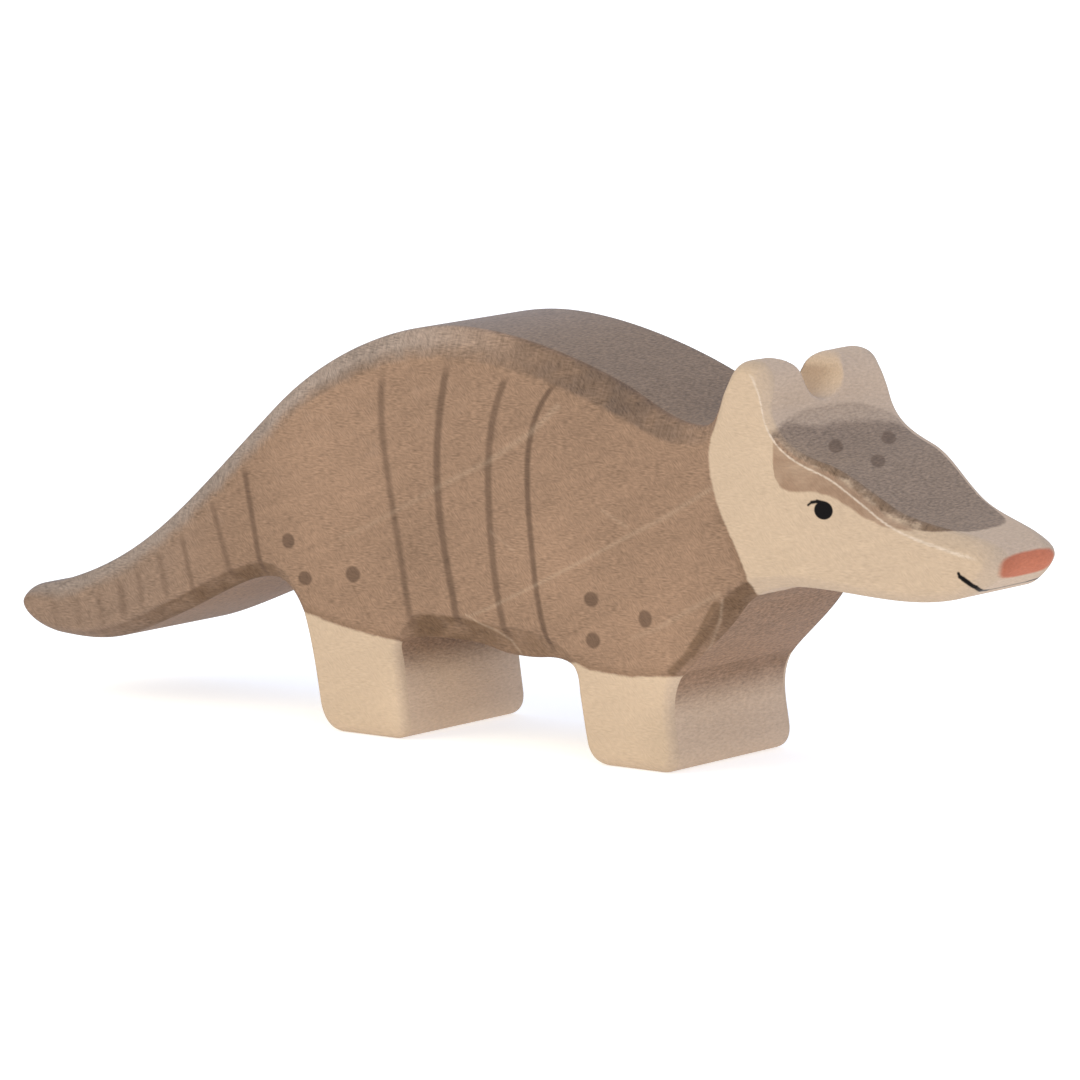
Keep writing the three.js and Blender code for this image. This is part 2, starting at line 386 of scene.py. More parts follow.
    def _section(self, edges: np.ndarray) -> tuple[np.ndarray, np.ndarray]:
        """The worked edge in cross-section, from the side face to the sawn face.

        Args:
            edges: The edge's numbers at each point.

        Returns:
            How far each layer lies inside the outline, and how deep in the thickness: layers by points.
        """
        rim, side, rounding, soft = edges.T[:4]
        t = np.linspace(0, 1, self.layers + 1)[:, None]
        facet = np.hypot(rim, side)
        longest = 0.45 * facet
        near, far = np.minimum(soft, longest), np.minimum(1.5 * soft, longest)
        ex, ey = -rim / facet, side / facet
        third = 1 / 3
        a, middle, b = (rise(t, start, start + third) for start in (0, third, 2 * third))
        # each stretch runs from 0 to 1 over its third of the layers; first the corner at the side face
        inset = (1 - a) ** 2 * (rim + near) + 2 * a * (1 - a) * rim + a**2 * (rim + ex * near)
        depth = a**2 * ey * near
        # the flat of the chamfer
        inset = inset + middle * ex * (facet - near - far)
        depth = depth + middle * ey * (facet - near - far)
        # corner at the sawn face
        inset = inset + (2 * b * (1 - b) + b**2) * ex * far
        depth = depth + 2 * b * (1 - b) * ey * far + b**2 * (ey * far + far)
        angle = t * math.pi / 2
        round_inset, round_depth = rim * (1 - np.sin(angle)), side * (1 - np.cos(angle))
        return inset + (round_inset - inset) * rounding, depth + (round_depth - depth) * rounding

    def _groove_height(self, y: np.ndarray) -> np.ndarray:
        """Draws the groove's section: a round bowl with lips that flare out to the ears' tops.

        Args:
            y: Places across the board.

        Returns:
            Height of the groove's surface at each place.
        """
        u = np.abs(y - self.groove_shift)
        lip = self.ear_top - self.lip_radius - 0.1
        open_angle = math.asin((self.groove_axis - lip) / self.groove_radius)
        wall = self.groove_radius * math.cos(open_angle)
        flare = self.groove_radius + self.lip_radius + 1.0
        t = np.linspace(0, 1, 80)
        ly = (1 - t) ** 2 * wall + 2 * t * (1 - t) * (wall + 0.15) + t**2 * flare
        lz = (1 - t) ** 2 * lip + 2 * t * (1 - t) * self.ear_top + t**2 * (self.ear_top + 0.05)
        bowl = self.groove_axis - np.sqrt(np.clip(self.groove_radius**2 - u**2, 0, None))
        beyond = self.ear_top + 5
        return np.where(u < wall, bowl, np.where(u < flare, np.interp(u, ly, lz), beyond))

    def _columns(self) -> np.ndarray:
        """Spreads the columns of points across the sawn face, closest at the groove's two walls.

        Returns:
            Their places across the board.
        """
        wall = np.concatenate([np.linspace(3.3, 5.3, 12), np.linspace(5.8, 8.4, 6)])
        bottom = np.linspace(-2.4, 2.4, 6)
        return np.concatenate([-wall[::-1], bottom, wall]) + self.groove_shift

    def _ear_section(self, ear: np.ndarray, height: float) -> np.ndarray:
        """One column over the ears: the ear's outline, cut off level where the groove passes.

        Args:
            ear: The outline's points from the forehead over the ear to the neck.
            height: Height of the groove's surface at this column.

        Returns:
            As many points, evenly spaced, with sanded corners.
        """
        above = np.nonzero(ear[:, 1] > height)[0]
        cut = ear
        if len(above) > 1:
            i, j = above[0], above[-1]
            up = (height - ear[i - 1, 1]) / (ear[i, 1] - ear[i - 1, 1])
            down = (height - ear[j + 1, 1]) / (ear[j, 1] - ear[j + 1, 1])
            front = ear[i - 1] + up * (ear[i] - ear[i - 1])
            rear = ear[j + 1] + down * (ear[j] - ear[j + 1])
            level = front + np.linspace(0, 1, 24)[:, None] * (rear - front)
            cut = np.concatenate([ear[:i], level, ear[j + 1 :]])
        p = evenly(cut, len(ear) - 1)
        for _ in range(2):
            p[1:-1] = 0.25 * p[:-2] + 0.5 * p[1:-1] + 0.25 * p[2:]
        return p

    def _skin(self) -> dict[str, np.ndarray]:
        """Lays the grid of points that wraps the board from one side face over the sawn face to the other.

        Returns:
            Arrays of columns by points: "x", "y", "z", "across" (0 on the side, 1 on the sawn face), "rub"
            (how far paint is rubbed off, and how strong the painted highlight is), "soak" (how much darker
            the
            chamfer is: more stain sank in, and painted shade on the facets that face down) and "travelled"
                (way
            over the worked edge from the side face). Along the outline: "run" (its length) and "normal"
            (outwards).
        """
        drawn = self.outline()
        p = np.array(drawn.points)
        edges = self._eased(p, np.array(drawn.edges))
        normal = self._normals(p)
        inset, depth = self._section(edges)
        x = p[:, 0] - normal[:, 0] * inset
        z = p[:, 1] - normal[:, 1] * inset
        half = self.half_width(x)
        # across the sawn face
        wall = self.half_width(p[:, 0]) - depth[-1]
        places = self._columns()
        fit = np.minimum(1, (wall - 0.9) / np.abs(places).max())
        middle_y = fit[None] * places[:, None]
        rows, n = len(places), len(p)
        middle_x, middle_z = np.tile(p[:, 0], (rows, 1)), np.tile(p[:, 1], (rows, 1))
        rear, front, root = self.ears
        ear = np.nonzero((p[:, 0] > rear) & (p[:, 0] < front) & (p[:, 1] > root))[0]
        heights = self._groove_height(places)
        for c in range(rows):
            cut = self._ear_section(p[ear], heights[c])
            middle_x[c, ear], middle_z[c, ear] = cut.T
        # two more columns on each side, between the last one and the worked edge
        t = np.array([0.28, 0.62])[:, None]
        left_y = middle_y[-1] + t * (wall - middle_y[-1])
        right_y = middle_y[0] + t[::-1] * (-wall - middle_y[0])
        flat_x, flat_z = np.tile(p[:, 0], (2, 1)), np.tile(p[:, 1], (2, 1))
        grid = {
            "x": np.concatenate([x, flat_x, middle_x, flat_x, x[::-1]]),
            "y": np.concatenate([depth - half, right_y, middle_y, left_y, (half - depth)[::-1]]),
            "z": np.concatenate([z, flat_z, middle_z, flat_z, z[::-1]]),
        }
        self._warp(grid)
        solid = np.ones((rows + 4, n))

        def mirrored(edge: np.ndarray, face: float) -> np.ndarray:
            """Sets one value over the sawn face between an edge's values and their mirror image."""
            return np.concatenate([edge, face * solid, edge[::-1]])

        slant = np.hypot(np.diff(inset, axis=0), np.diff(depth, axis=0))
        grid["travelled"] = mirrored(np.concatenate([np.zeros((1, n)), np.cumsum(slant, axis=0)]), 0)
        grid["across"] = mirrored(np.clip(depth / np.maximum(depth[-1], 1e-6), 0, 1), 1)
        # pale lines at both corners of each chamfer: paint rubbed off, and a painted highlight
        place = np.linspace(0, 1, self.layers + 1)[:, None]
        outer, inner = (np.exp(-(((place - corner) / 0.11) ** 2)) for corner in (1 / 6, 5 / 6))
        grid["rub_and_highlight"] = mirrored(outer * edges[:, 4] + inner * edges[:, 5], 0)
        # how much darker each chamfer is coloured: more stain, and painted shade on the facets that face down
        grid["soak_and_shade"] = np.tile(edges[:, 6], (grid["x"].shape[0], 1))
        grid["run"], grid["normal"] = self._run(p), normal
        return grid

    def _warp(self, grid: dict[str, np.ndarray]) -> None:
        """Lowers the left ear and sets the right edge of the forehead back, as uneven sanding leaves them.

        Args:
            grid: The grid, whose "x" and "z" are changed.
        """
        x, y, z = grid["x"], grid["y"], grid["z"]
        on_ear = rise(z, 50.5, self.ear_top) * ((x > 39) & (x < 51))
        grid["z"] = z = z - self.left_ear_drop * smooth(rise(y, 1, 7)) * on_ear
        on_brow = rise(x, 45, 49) * rise(x, 65, 57) * rise(z, 58, 50) * rise(z, 37.5, 40)
        grid["x"] = x - self.right_brow_back * smooth(rise(y, 10, -12)) * on_brow

    def _side_points(self, ring: np.ndarray) -> tuple[np.ndarray, np.ndarray]:
        """Fills a side face with evenly spread points and triangles.

        Args:
            ring: The X and Z of the face's border, counter-clockwise.

        Returns:
            The border's points followed by the inner ones, and triangles as rows of three indices.
        """
        h = self.side_mesh
        lo, hi = ring.min(0), ring.max(0)
        xs, zs = np.arange(lo[0], hi[0], h), np.arange(lo[1], hi[1], h * math.sqrt(3) / 2)
        gx, gz = np.meshgrid(xs, zs)
        gx = gx + (np.arange(len(zs)) % 2)[:, None] * h / 2
        inner = np.stack([gx.ravel(), gz.ravel()], axis=1)
        a, b = ring, np.roll(ring, -1, axis=0)
        crossing = (a[:, 1] > inner[:, 1:2]) != (b[:, 1] > inner[:, 1:2])
        with np.errstate(divide="ignore", invalid="ignore"):
            at = a[:, 0] + (inner[:, 1:2] - a[:, 1]) * (b[:, 0] - a[:, 0]) / (b[:, 1] - a[:, 1])
        inside = (crossing & (inner[:, 0:1] < at)).sum(1) % 2 == 1
        clear = np.min(np.hypot(inner[:, 0:1] - ring[:, 0], inner[:, 1:2] - ring[:, 1]), axis=1) > 0.6 * h
        points = np.concatenate([ring, inner[inside & clear]])
        n = len(ring)
        border = [(i, (i + 1) % n) for i in range(n)]
        verts, _, faces, origin, *_ = delaunay_2d_cdt([Vector(q) for q in points], border, [], 1, 1e-6)
        index = [o[0] for o in origin]
        if len(verts) != len(points) or min(len(o) for o in origin) < 1:
            raise ValueError("the side face's points were merged or split")
        tri = np.array([[index[v] for v in f] for f in faces if len(f) == 3])
        q = points[tri]
        area = np.cross(q[:, 1] - q[:, 0], q[:, 2] - q[:, 0])
        tri[area < 0] = tri[area < 0][:, ::-1]
        return points, tri

    def build(self) -> bpy.types.Object:
        """Makes the toy's mesh, its bake map and the marks that its finish reads.

        Returns:
            The object, linked into the scene.
        """
        g = self._skin()
        cols, n = g["x"].shape
        verts = np.stack([g["x"], g["y"], g["z"]], axis=2).reshape(-1, 3)
        r, i = np.meshgrid(np.arange(cols - 1), np.arange(n), indexing="ij")
        j = (i + 1) % n
        quads = np.stack([r * n + i, (r + 1) * n + i, (r + 1) * n + j, r * n + j], axis=2).reshape(-1, 4)
        marks = {key: [g[key].ravel()] for key in MARKS}
        faces: list[list[int]] = quads.tolist()
        uv = [self._skin_map(g, r, i).reshape(-1, 2)]
        for hand, row in ((-1, 0), (1, cols - 1)):
            ring = np.stack([g["x"][row], g["z"][row]], axis=1)
            points, tri = self._side_points(ring)
            inner = points[n:]
            start = len(verts)
            y = hand * self.half_width(inner[:, 0])
            verts = np.concatenate([verts, np.stack([inner[:, 0], y, inner[:, 1]], axis=1)])
            index = np.concatenate([row * n + np.arange(n), start + np.arange(len(inner))])
            tri = tri if hand < 0 else tri[:, ::-1]
            faces += index[tri].tolist()
            uv.append(self._side_map(points[tri], hand).reshape(-1, 2))
            for parts in marks.values():
                parts.append(np.zeros(len(inner)))
        mesh = bpy.data.meshes.new(PIECE)
        mesh.from_pydata((verts * MM).tolist(), [], faces)
        layer = mesh.uv_layers.new(name=BAKE_MAP)
        layer.uv.foreach_set("vector", np.concatenate(uv).astype(np.float32).ravel())
        for key, parts in marks.items():
            mark = mesh.attributes.new(key, "FLOAT", "POINT")
            mark.data.foreach_set("value", np.concatenate(parts).astype(np.float32))
        mesh.shade_smooth()
        mesh.update()
        toy = bpy.data.objects.new(PIECE, mesh)
        bpy.context.collection.objects.link(toy)
        return toy

    def _side_map(self, xz: np.ndarray, hand: int) -> np.ndarray:
        """Places points of a side face on the bake map: the right side at the bottom, the left one above it.

        Args:
            xz: X and Z of the points, on the last axis.
            hand: -1 for the right side, 1 for the left.

        Returns:
            The places, with the same shape.
        """
        margin, right, left = self.sheet_sides
        corner = np.array([self.length / 2 + margin, right if hand < 0 else left])
        return (xz + corner) / self.sheet

    def _skin_map(self, g: dict[str, np.ndarray], r: np.ndarray, i: np.ndarray) -> np.ndarray:
        """Places the wrapping grid's faces on the bake map.

        The worked edges lie round their side face, and the sawn face in strips above the two sides.

        Args:
            g: The grid.
            r: Column of each face.
            i: Point of each face.

        Returns:
            Four places for each face.
        """
        cols, n = g["x"].shape
        k = self.layers
        out = np.empty((*r.shape, 4, 2))
        run = g["run"]
        strip = np.minimum((i * self.strips) // n, self.strips - 1)
        first = -(-strip * n // self.strips)
        margin, middle, spacing = self.sheet_strips
        for c, (dr, di) in enumerate(((0, 0), (1, 0), (1, 1), (0, 1))):
            row, at = r + dr, i + di
            wrapped = at % n
            out[..., c, 0] = (run[at] - run[first] + margin) / self.sheet
            out[..., c, 1] = (g["y"][row, wrapped] + middle + spacing * strip) / self.sheet
            for hand in (-1, 1):
                base = 0 if hand < 0 else cols - 1
                side = (r < k) if hand < 0 else (r >= cols - 1 - k)
                xz = np.stack([g["x"][base, wrapped], g["z"][base, wrapped]], axis=-1)
                xz = xz + g["normal"][wrapped] * g["travelled"][row, wrapped][..., None]
                place = self._side_map(xz, hand)
                out[..., c, :] = np.where(side[..., None], place, out[..., c, :])
        return out

    def dress(self, toy: bpy.types.Object, finish: "PaintedHardwood") -> None:
        """Gives the toy its finish and its place in the frame.

        Args:
            toy: The toy's object.
            finish: What it is painted with.
        """
        toy.data.materials.append(finish.build(toy))
        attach(toy, "root")
        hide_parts(BOARD_NODE)


# ---- shader arithmetic ---------------------------------------------------------------------------


class Shade:
    """A number, vector or colour of a material, so that its sums can be written as Python expressions."""

    def __init__(self, sheet: "Sheet", socket: bpy.types.NodeSocket) -> None:
        """Wraps one output socket."""
        self.sheet = sheet
        self.socket = socket

    def _join(self, operation: str, *others: "Shade | float | Triple", swap: bool = False) -> "Shade":
        """Joins this shade with others by one operation, with the node that suits its kind.

        Args:
            operation: Name of the operation.
            others: The other operands.
            swap: Whether the first other operand comes before this one.

        Returns:
            The result.
        """
        terms = [self, *others]
        if swap:
            terms[0], terms[1] = terms[1], terms[0]
        if self.socket.type == "RGBA":
            blend = {"blend_type": operation, "data_type": "RGBA"}
            return self.sheet.node("ShaderNodeMix", blend, {0: 1.0, 6: terms[0], 7: terms[1]}, 2)
        kind = "ShaderNodeVectorMath" if self.socket.type == "VECTOR" else "ShaderNodeMath"
        return self.sheet.node(kind, {"operation": operation}, dict(enumerate(terms)))

    def __add__(self, other: "Shade | float") -> "Shade":
        """Sum."""
        return self._join("ADD", other)

    def __radd__(self, other: "Shade | float") -> "Shade":
        """Sum, reflected."""
        return self._join("ADD", other, swap=True)

    def __sub__(self, other: "Shade | float") -> "Shade":
        """Difference."""
        return self._join("SUBTRACT", other)

    def __rsub__(self, other: "Shade | float") -> "Shade":
        """Difference, reflected."""
        return self._join("SUBTRACT", other, swap=True)

    def __mul__(self, other: "Shade | float") -> "Shade":
        """Product."""
        return self._join("MULTIPLY", other)

    def __rmul__(self, other: "Shade | float") -> "Shade":
        """Product, reflected."""
        return self._join("MULTIPLY", other, swap=True)

    def __truediv__(self, other: "Shade | float") -> "Shade":
        """Quotient."""
        return self._join("DIVIDE", other)

    def __rtruediv__(self, other: "Shade | float") -> "Shade":
        """Quotient, reflected."""
        return self._join("DIVIDE", other, swap=True)

    def __pow__(self, other: "Shade | float") -> "Shade":
        """Power."""
        return self._join("POWER", other)

    def __abs__(self) -> "Shade":
        """Absolute value."""
        return self._join("ABSOLUTE")

    def __neg__(self) -> "Shade":
        """Negative."""
        return self._join("MULTIPLY", -1.0)

    def root(self) -> "Shade":
        """Square root."""
        return self._join("SQRT")

    def at_least(self, other: "Shade | float") -> "Shade":
        """The greater of the two."""
        return self._join("MAXIMUM", other)

    def at_most(self, other: "Shade | float") -> "Shade":
        """The lesser of the two."""
        return self._join("MINIMUM", other)

    def kept(self, low: float = 0.0, high: float = 1.0) -> "Shade":
        """This shade, kept between two limits."""
        return self.at_least(low).at_most(high)

    def ramp(self, start: "Shade | float", end: "Shade | float") -> "Shade":
        """Rises smoothly from 0 at start to 1 at end; start may be the greater one."""
        values = {0: self, 1: start, 2: end}
        return self.sheet.node("ShaderNodeMapRange", {"interpolation_type": "SMOOTHSTEP"}, values)

    def blend(self, a: "Shade | Colour", b: "Shade | Colour") -> "Shade":
        """Mixes colour a with colour b, with this shade as the amount of b."""
        a, b = (c if isinstance(c, Shade) else (*c, 1.0) for c in (a, b))
        return self.sheet.node("ShaderNodeMix", {"data_type": "RGBA"}, {0: self, 6: a, 7: b}, 2)

    def tint(self, amount: "Shade | float") -> "Shade":
        """Makes this colour lighter or darker by a factor."""
        grey = self.sheet.node("ShaderNodeCombineXYZ", None, {0: amount, 1: amount, 2: amount})
        return self._join("MULTIPLY", grey)

    def poly(self, factors: Sequence[float]) -> "Shade":
        """A polynomial of this shade, with its factors from the highest power down."""
        return reduce(lambda value, factor: self._join("MULTIPLY_ADD", value, factor), factors)

    def bent(self, points: Sequence[Point]) -> "Shade":
        """A function of this shade, drawn as straight pieces.

        Args:
            points: Pairs of this shade and the value there; the value is flat before and after them.

        Returns:
            The value.
        """
        value: Shade | float = points[0][1]
        slope = 0.0
        slopes = [(b[1] - a[1]) / (b[0] - a[0]) for a, b in zip(points, points[1:])] + [0.0]
        for (place, _), s in zip(points, slopes):
            value = (self - place).at_least(0.0) * (s - slope) + value
            slope = s
        return value


def strongest(shades: Sequence[Shade]) -> Shade:
    """The strongest of several marks at each point."""
    return reduce(Shade.at_least, shades)


class Sheet:
    """A material's node tree, with the means to add to it."""

    def __init__(self, tree: bpy.types.NodeTree) -> None:
        """Wraps one tree."""
        self.tree = tree

    def node(self, kind: str, settings: dict | None, values: dict | None, output: int | str = 0) -> Shade:
        """Adds any node.

        Args:
            kind: The node's type.
            settings: Properties, set before anything else.
            values: What goes into its inputs, by name or number: shades are linked, the rest is written.
            output: Which output to hand back.

        Returns:
            The output.
        """
        made = self.tree.nodes.new(kind)
        for name, value in (settings or {}).items():
            setattr(made, name, value)
        for name, value in (values or {}).items():
            if isinstance(value, Shade):
                self.tree.links.new(value.socket, made.inputs[name])
            else:
                made.inputs[name].default_value = value
        return Shade(self, made.outputs[output])

    def vector(self, operation: str, values: dict, output: str = "Vector") -> Shade:
        """Adds one vector sum that has no operator of its own."""
        return self.node("ShaderNodeVectorMath", {"operation": operation}, values, output)

    def turned(self, at: Shade, angle: float) -> Shade:
        """A place turned about the Y axis by an angle in radians."""
        about = {"rotation_type": "Y_AXIS"}
        return self.node("ShaderNodeVectorRotate", about, {"Vector": at, "Angle": angle})

    def noise(
        self, at: Shade, stretch: Triple, detail: float = 2.0, rough: float = 0.5, warp: float = 0.0
    ) -> Shade:
        """Smooth noise between about -1 and 1.

        Args:
            at: Where, in millimetres.
            stretch: Size of its features along X, Y and Z, in millimetres.
            detail: Number of finer octaves.
            rough: Strength of the finer octaves.
            warp: How far its features are bent.

        Returns:
            The noise.
        """
        scaled = at * tuple(1 / s for s in stretch)
        values = {"Vector": scaled, "Scale": 1.0, "Detail": detail, "Roughness": rough, "Distortion": warp}
        return self.node("ShaderNodeTexNoise", None, values) * NOISE_GAIN - NOISE_GAIN / 2


# ---- paint ---------------------------------------------------------------------------------------


@dataclass(frozen=True)
class Stripe:
    """One brush line drawn down over the side.

    Args:
        through: X and Z of points along it, from the top down.
        width: Width of the line.
        strength: How dark it is, 0 to 1.
        soft: Softness of its two sides.
        fade: Length over which its upper end fades in.
        foot: Length over which its lower end fades out.
    """

    through: tuple[Point, ...]
    width: float
    strength: float
    soft: float
    fade: float
    foot: float


@dataclass(frozen=True)
class Dot:
    """One dab of the brush on the side.

    Args:
        x: Its place.
        z: Its height.
        wide: Half of its width.
        high: Half of its height.
        strength: How dark it is, 0 to 1.
    """

    x: float
    z: float
    wide: float
    high: float
    strength: float = 0.8


@dataclass(frozen=True)
class Stroke:
    """A narrow mark, as a chain of short straight pieces, alike on both sides of the toy.

    Args:
        through: X, Y and Z of its points on the right side.
        start: Half of its width where it begins.
        end: Half of its width where it ends.
        strength: How strong it is at its start and at its end.
        soft: Softness of its border.
    """

    through: tuple[Triple, ...]
    start: float
    end: float
    strength: tuple[float, float] = (1.0, 1.0)
    soft: float = 0.13


@dataclass(frozen=True)
class FacePaint:
    """The features painted on the head.

    Args:
        eye: X and Z of the eye's middle.
        eye_size: Half of its width and of its height.
        strokes: Mouth and lashes.
        forehead: X and Y of the dots on the forehead.
        dot: Half of the width and half of the height of such a dot, which lies askew.
        dot_strength: How dark such a dot is.
        nose: Y and Z of the middle of the coral nose.
        nose_size: Half of its width and of its height.
        mask_tip: X of the mask's front end, in the middle.
        mask_top: Height of the mask's upper end, in the middle.
    """

    eye: Point = (57.3, 37.65)
    eye_size: Point = (1.32, 1.22)
    strokes: tuple[Stroke, ...] = (
        Stroke(((75.9, -9.2, 30.5), (76.1, -9.2, 30.1), (76.6, -9.1, 29.8)), 0.18, 0.32),
        Stroke(((76.5, -9.1, 29.85), (77.2, -8.9, 29.4), (77.8, -8.0, 28.7)), 0.32, 0.34),
        Stroke(((77.8, -8.0, 28.7), (77.6, -6.5, 28.2), (77.4, -4.6, 27.9)), 0.34, 0.24, (1.0, 0.9)),
        Stroke(((77.4, -4.6, 27.9), (77.4, 0.0, 27.85), (77.4, 4.0, 27.9)), 0.2, 0.1, (0.75, 0.4)),
        Stroke(
            ((55.1, -13.7, 38.2), (55.6, -13.6, 38.6), (56.4, -13.5, 38.75), (57.4, -13.4, 38.6)), 0.12, 0.32
        ),
    )
    forehead: tuple[Point, ...] = ((53.5, -5.05), (54.2, 6.2), (58.4, -2.4))
    dot: Point = (1.0, 0.85)
    dot_strength: float = 0.57
    nose: Point = (0.6, 31.05)
    nose_size: Point = (6.4, 1.6)
    mask_tip: float = 74.85
    mask_top: float = 49.65


@dataclass(frozen=True)
class Borders:
    """Where stain and patches end, as runs of points in the side view.

    Args:
        legs: X and Z of the stain's end above the legs.
        leg_fronts: The same on the sawn faces of the legs, where it fades out softly.
        neck: X and Z of the stain's end along the neck, from the top down.
        eye_patch: X and Z of the lower border of the patch beside the eye.
        upper: X and Z of the level that parts the stain of the back from that of the underside.
    """

    legs: tuple[Point, ...] = (
        (-46.0, 6.0), (-29.6, 16.4), (-24.2, 15.2), (-19.9, 14.5), (-15.6, 14.0), (-12.6, 13.7), (-10.0, 8.0),
        (6.0, 8.0), (10.0, 13.1), (15.4, 13.3), (17.4, 13.6), (19.9, 12.9), (26.5, 12.6), (31.6, 13.2),
        (34.5, 13.3), (36.0, 8.0),
    )
    leg_fronts: tuple[Point, ...] = ((-20.0, 14.5), (-14.0, 10.4), (-11.5, 10.4), (20.0, 9.7), (33.0, 9.7))
    neck: tuple[Point, ...] = (
        (42.2, 54.0), (40.6, 49.6), (39.4, 44.9), (39.5, 40.9), (41.5, 35.7), (43.8, 31.3), (45.4, 27.7),
        (46.0, 25.0),
    )
    eye_patch: tuple[Point, ...] = (
        (49.4, 44.0), (49.9, 41.5), (50.7, 40.3), (52.0, 39.8), (56.4, 39.95), (58.2, 39.6), (61.0, 38.2),
        (63.2, 36.9), (65.8, 36.0), (69.1, 35.6), (72.0, 34.0),
    )
    upper: tuple[Point, ...] = ((-73.0, 12.5), (-50.0, 21.0), (-35.0, 32.0), (-10.0, 38.0))


class Surface:
    """A point of the toy as the finish sees it: its place, its worked edge and its unevenness, as shades."""

    def __init__(self, sheet: Sheet, toy: bpy.types.Object, slope: float, scratch: float) -> None:
        """Reads the place and the marks of the mesh, and lays the noises over them.

        Args:
            sheet: The material's tree.
            toy: The toy's object, whose surface places the strokes.
            slope: Angle at which the growth lines rise over the side, in radians.
            scratch: Angle of the sanding scratches, in radians.
        """
        self.sheet = sheet
        mesh = toy.data
        self.wood = BVHTree.FromPolygons([v.co for v in mesh.vertices], [p.vertices for p in mesh.polygons])
        place = sheet.node("ShaderNodeTexCoord", None, None, "Object")
        self.at = at = sheet.vector("SCALE", {0: place, "Scale": 1 / MM})
        split = sheet.node("ShaderNodeSeparateXYZ", None, {0: at})
        self.x, self.y, self.z = (Shade(sheet, axis) for axis in split.socket.node.outputs)
        self.mirrored = sheet.node("ShaderNodeCombineXYZ", None, {0: self.x, 1: -abs(self.y), 2: self.z})
        self.across, self.rub_and_highlight, self.soak_and_shade = (
            sheet.node("ShaderNodeAttribute", {"attribute_name": name}, None, "Fac") for name in MARKS
        )
        self.sawn = self.across.ramp(0.88, 1.0)
        self.bevel = self.across.ramp(0.02, 0.14) * (1.0 - self.sawn)
        # unevenness of the brush, from broad to fine
        self.cloud = sheet.noise(at, (10.0, 10.0, 6.0), 3.0)
        self.blotch = sheet.noise(at, (3.6, 3.6, 2.2), 2.0)
        self.wobble = sheet.noise(at, (1.7, 1.7, 1.2), 4.0, 0.6)
        self.waver = self.wobble * 0.16
        # grain: growth lines, swirls, and fibres that turn with the sanding here and there
        self.figure = sheet.noise(sheet.turned(at, slope), (16.0, 30.0, 1.3), 2.0, 0.6)
        self.swirl = sheet.noise(at, (2.8, 9.0, 1.7), 2.0, 0.5, 1.2)
        fibre = sheet.noise(at, (0.9, 0.4, 0.22), 1.0)
        scratched = sheet.noise(sheet.turned(at, scratch), (0.8, 0.5, 0.2), 1.0)
        self.along = fibre + (scratched - fibre) * (self.blotch * 1.5 + 0.4).kept(0.0, 0.85)
        over = sheet.noise(at, (0.26, 0.8, 0.26), 1.0)
        self.fleck = self.along + (over - self.along) * self.sawn
        self.weave = sheet.noise(at, (0.28, 2.0, 2.6), 1.0)

    def line_x(self, through: Sequence[Point], degree: int, low: float, high: float) -> Shade:
        """X of a smooth line down over the side, at the height of this point.

        Args:
            through: X and Z of points along the line.
            degree: Degree of the polynomial fitted through them.
            low: Height below which the line goes straight down.
            high: Height above which it goes straight up.

        Returns:
            X of the line.
        """
        p = np.array(through)
        factors = np.polyfit(p[:, 1] - MID_HEIGHT, p[:, 0], degree).tolist()
        return (self.z.kept(low, high) - MID_HEIGHT).poly(factors)

    def stripe(self, stripe: Stripe) -> Shade:
        """How dark one brush line is.

        Args:
            stripe: The line.

        Returns:
            The share of its colour.
        """
        heights = [z for _, z in stripe.through]
        low, high = min(heights), max(heights)
        middle = self.line_x(stripe.through, 4 if len(heights) > 4 else 2, low, high)
        off = abs(self.x + self.wobble * 0.06 - middle)
        edge = stripe.width / 2
        body = off.ramp(edge + stripe.soft, edge - stripe.soft)
        ends = self.z.ramp(high + 0.3, high - stripe.fade) * self.z.ramp(low - 0.4, low + stripe.foot)
        return body * ends * stripe.strength

    def dot(self, dot: Dot) -> Shade:
        """How dark one dot is."""
        reach = (((self.x - dot.x) / dot.wide) ** 2.0 + ((self.z - dot.z) / dot.high) ** 2.0).root()
        return (reach + self.wobble * 0.05).ramp(1.15, 0.8) * dot.strength

    def stroke(self, stroke: Stroke) -> Shade:
        """How strong one stroke is.

        Args:
            stroke: The stroke, whose points are first brought to the nearest wood.

        Returns:
            The strength.
        """
        points = [self.wood.find_nearest(Vector(p) * MM)[0] / MM for p in stroke.through]
        first, last = stroke.strength
        pieces = []
        for i, (a, b) in enumerate(zip(points, points[1:])):
            along = b - a
            from_a = self.mirrored - tuple(a)
            share = self.sheet.vector("DOT_PRODUCT", {0: from_a, 1: along}, "Value") / along.length_squared
            share = self.sheet.node("ShaderNodeClamp", None, {0: share})
            reached = self.sheet.vector("SCALE", {0: tuple(along), "Scale": share})
            gap = self.sheet.vector("LENGTH", {0: from_a - reached}, "Value")
            middle = (i + 0.5) / (len(points) - 1)
            half = stroke.start + (stroke.end - stroke.start) * middle
            strength = first + (last - first) * middle
            pieces.append(gap.ramp(half + stroke.soft, half - stroke.soft) * strength)
        return strongest(pieces)

    def marks(self, strokes: Sequence[Stroke]) -> Shade:
        """How strong the strongest of several strokes is."""
        return strongest([self.stroke(stroke) for stroke in strokes])

    def patch(self, patch: tuple[float, float, float, float]) -> Shade:
        """How much lighter a broad round patch of the side is.

        Args:
            patch: Its X, Z, radius and strength.

        Returns:
            The share by which it is lighter.
        """
        x, z, radius, strength = patch
        gap = self.sheet.vector("DISTANCE", {0: self.at * (1.0, 0.0, 1.0), 1: (x, 0.0, z)}, "Value")
        return gap.ramp(radius, 0.0) * strength


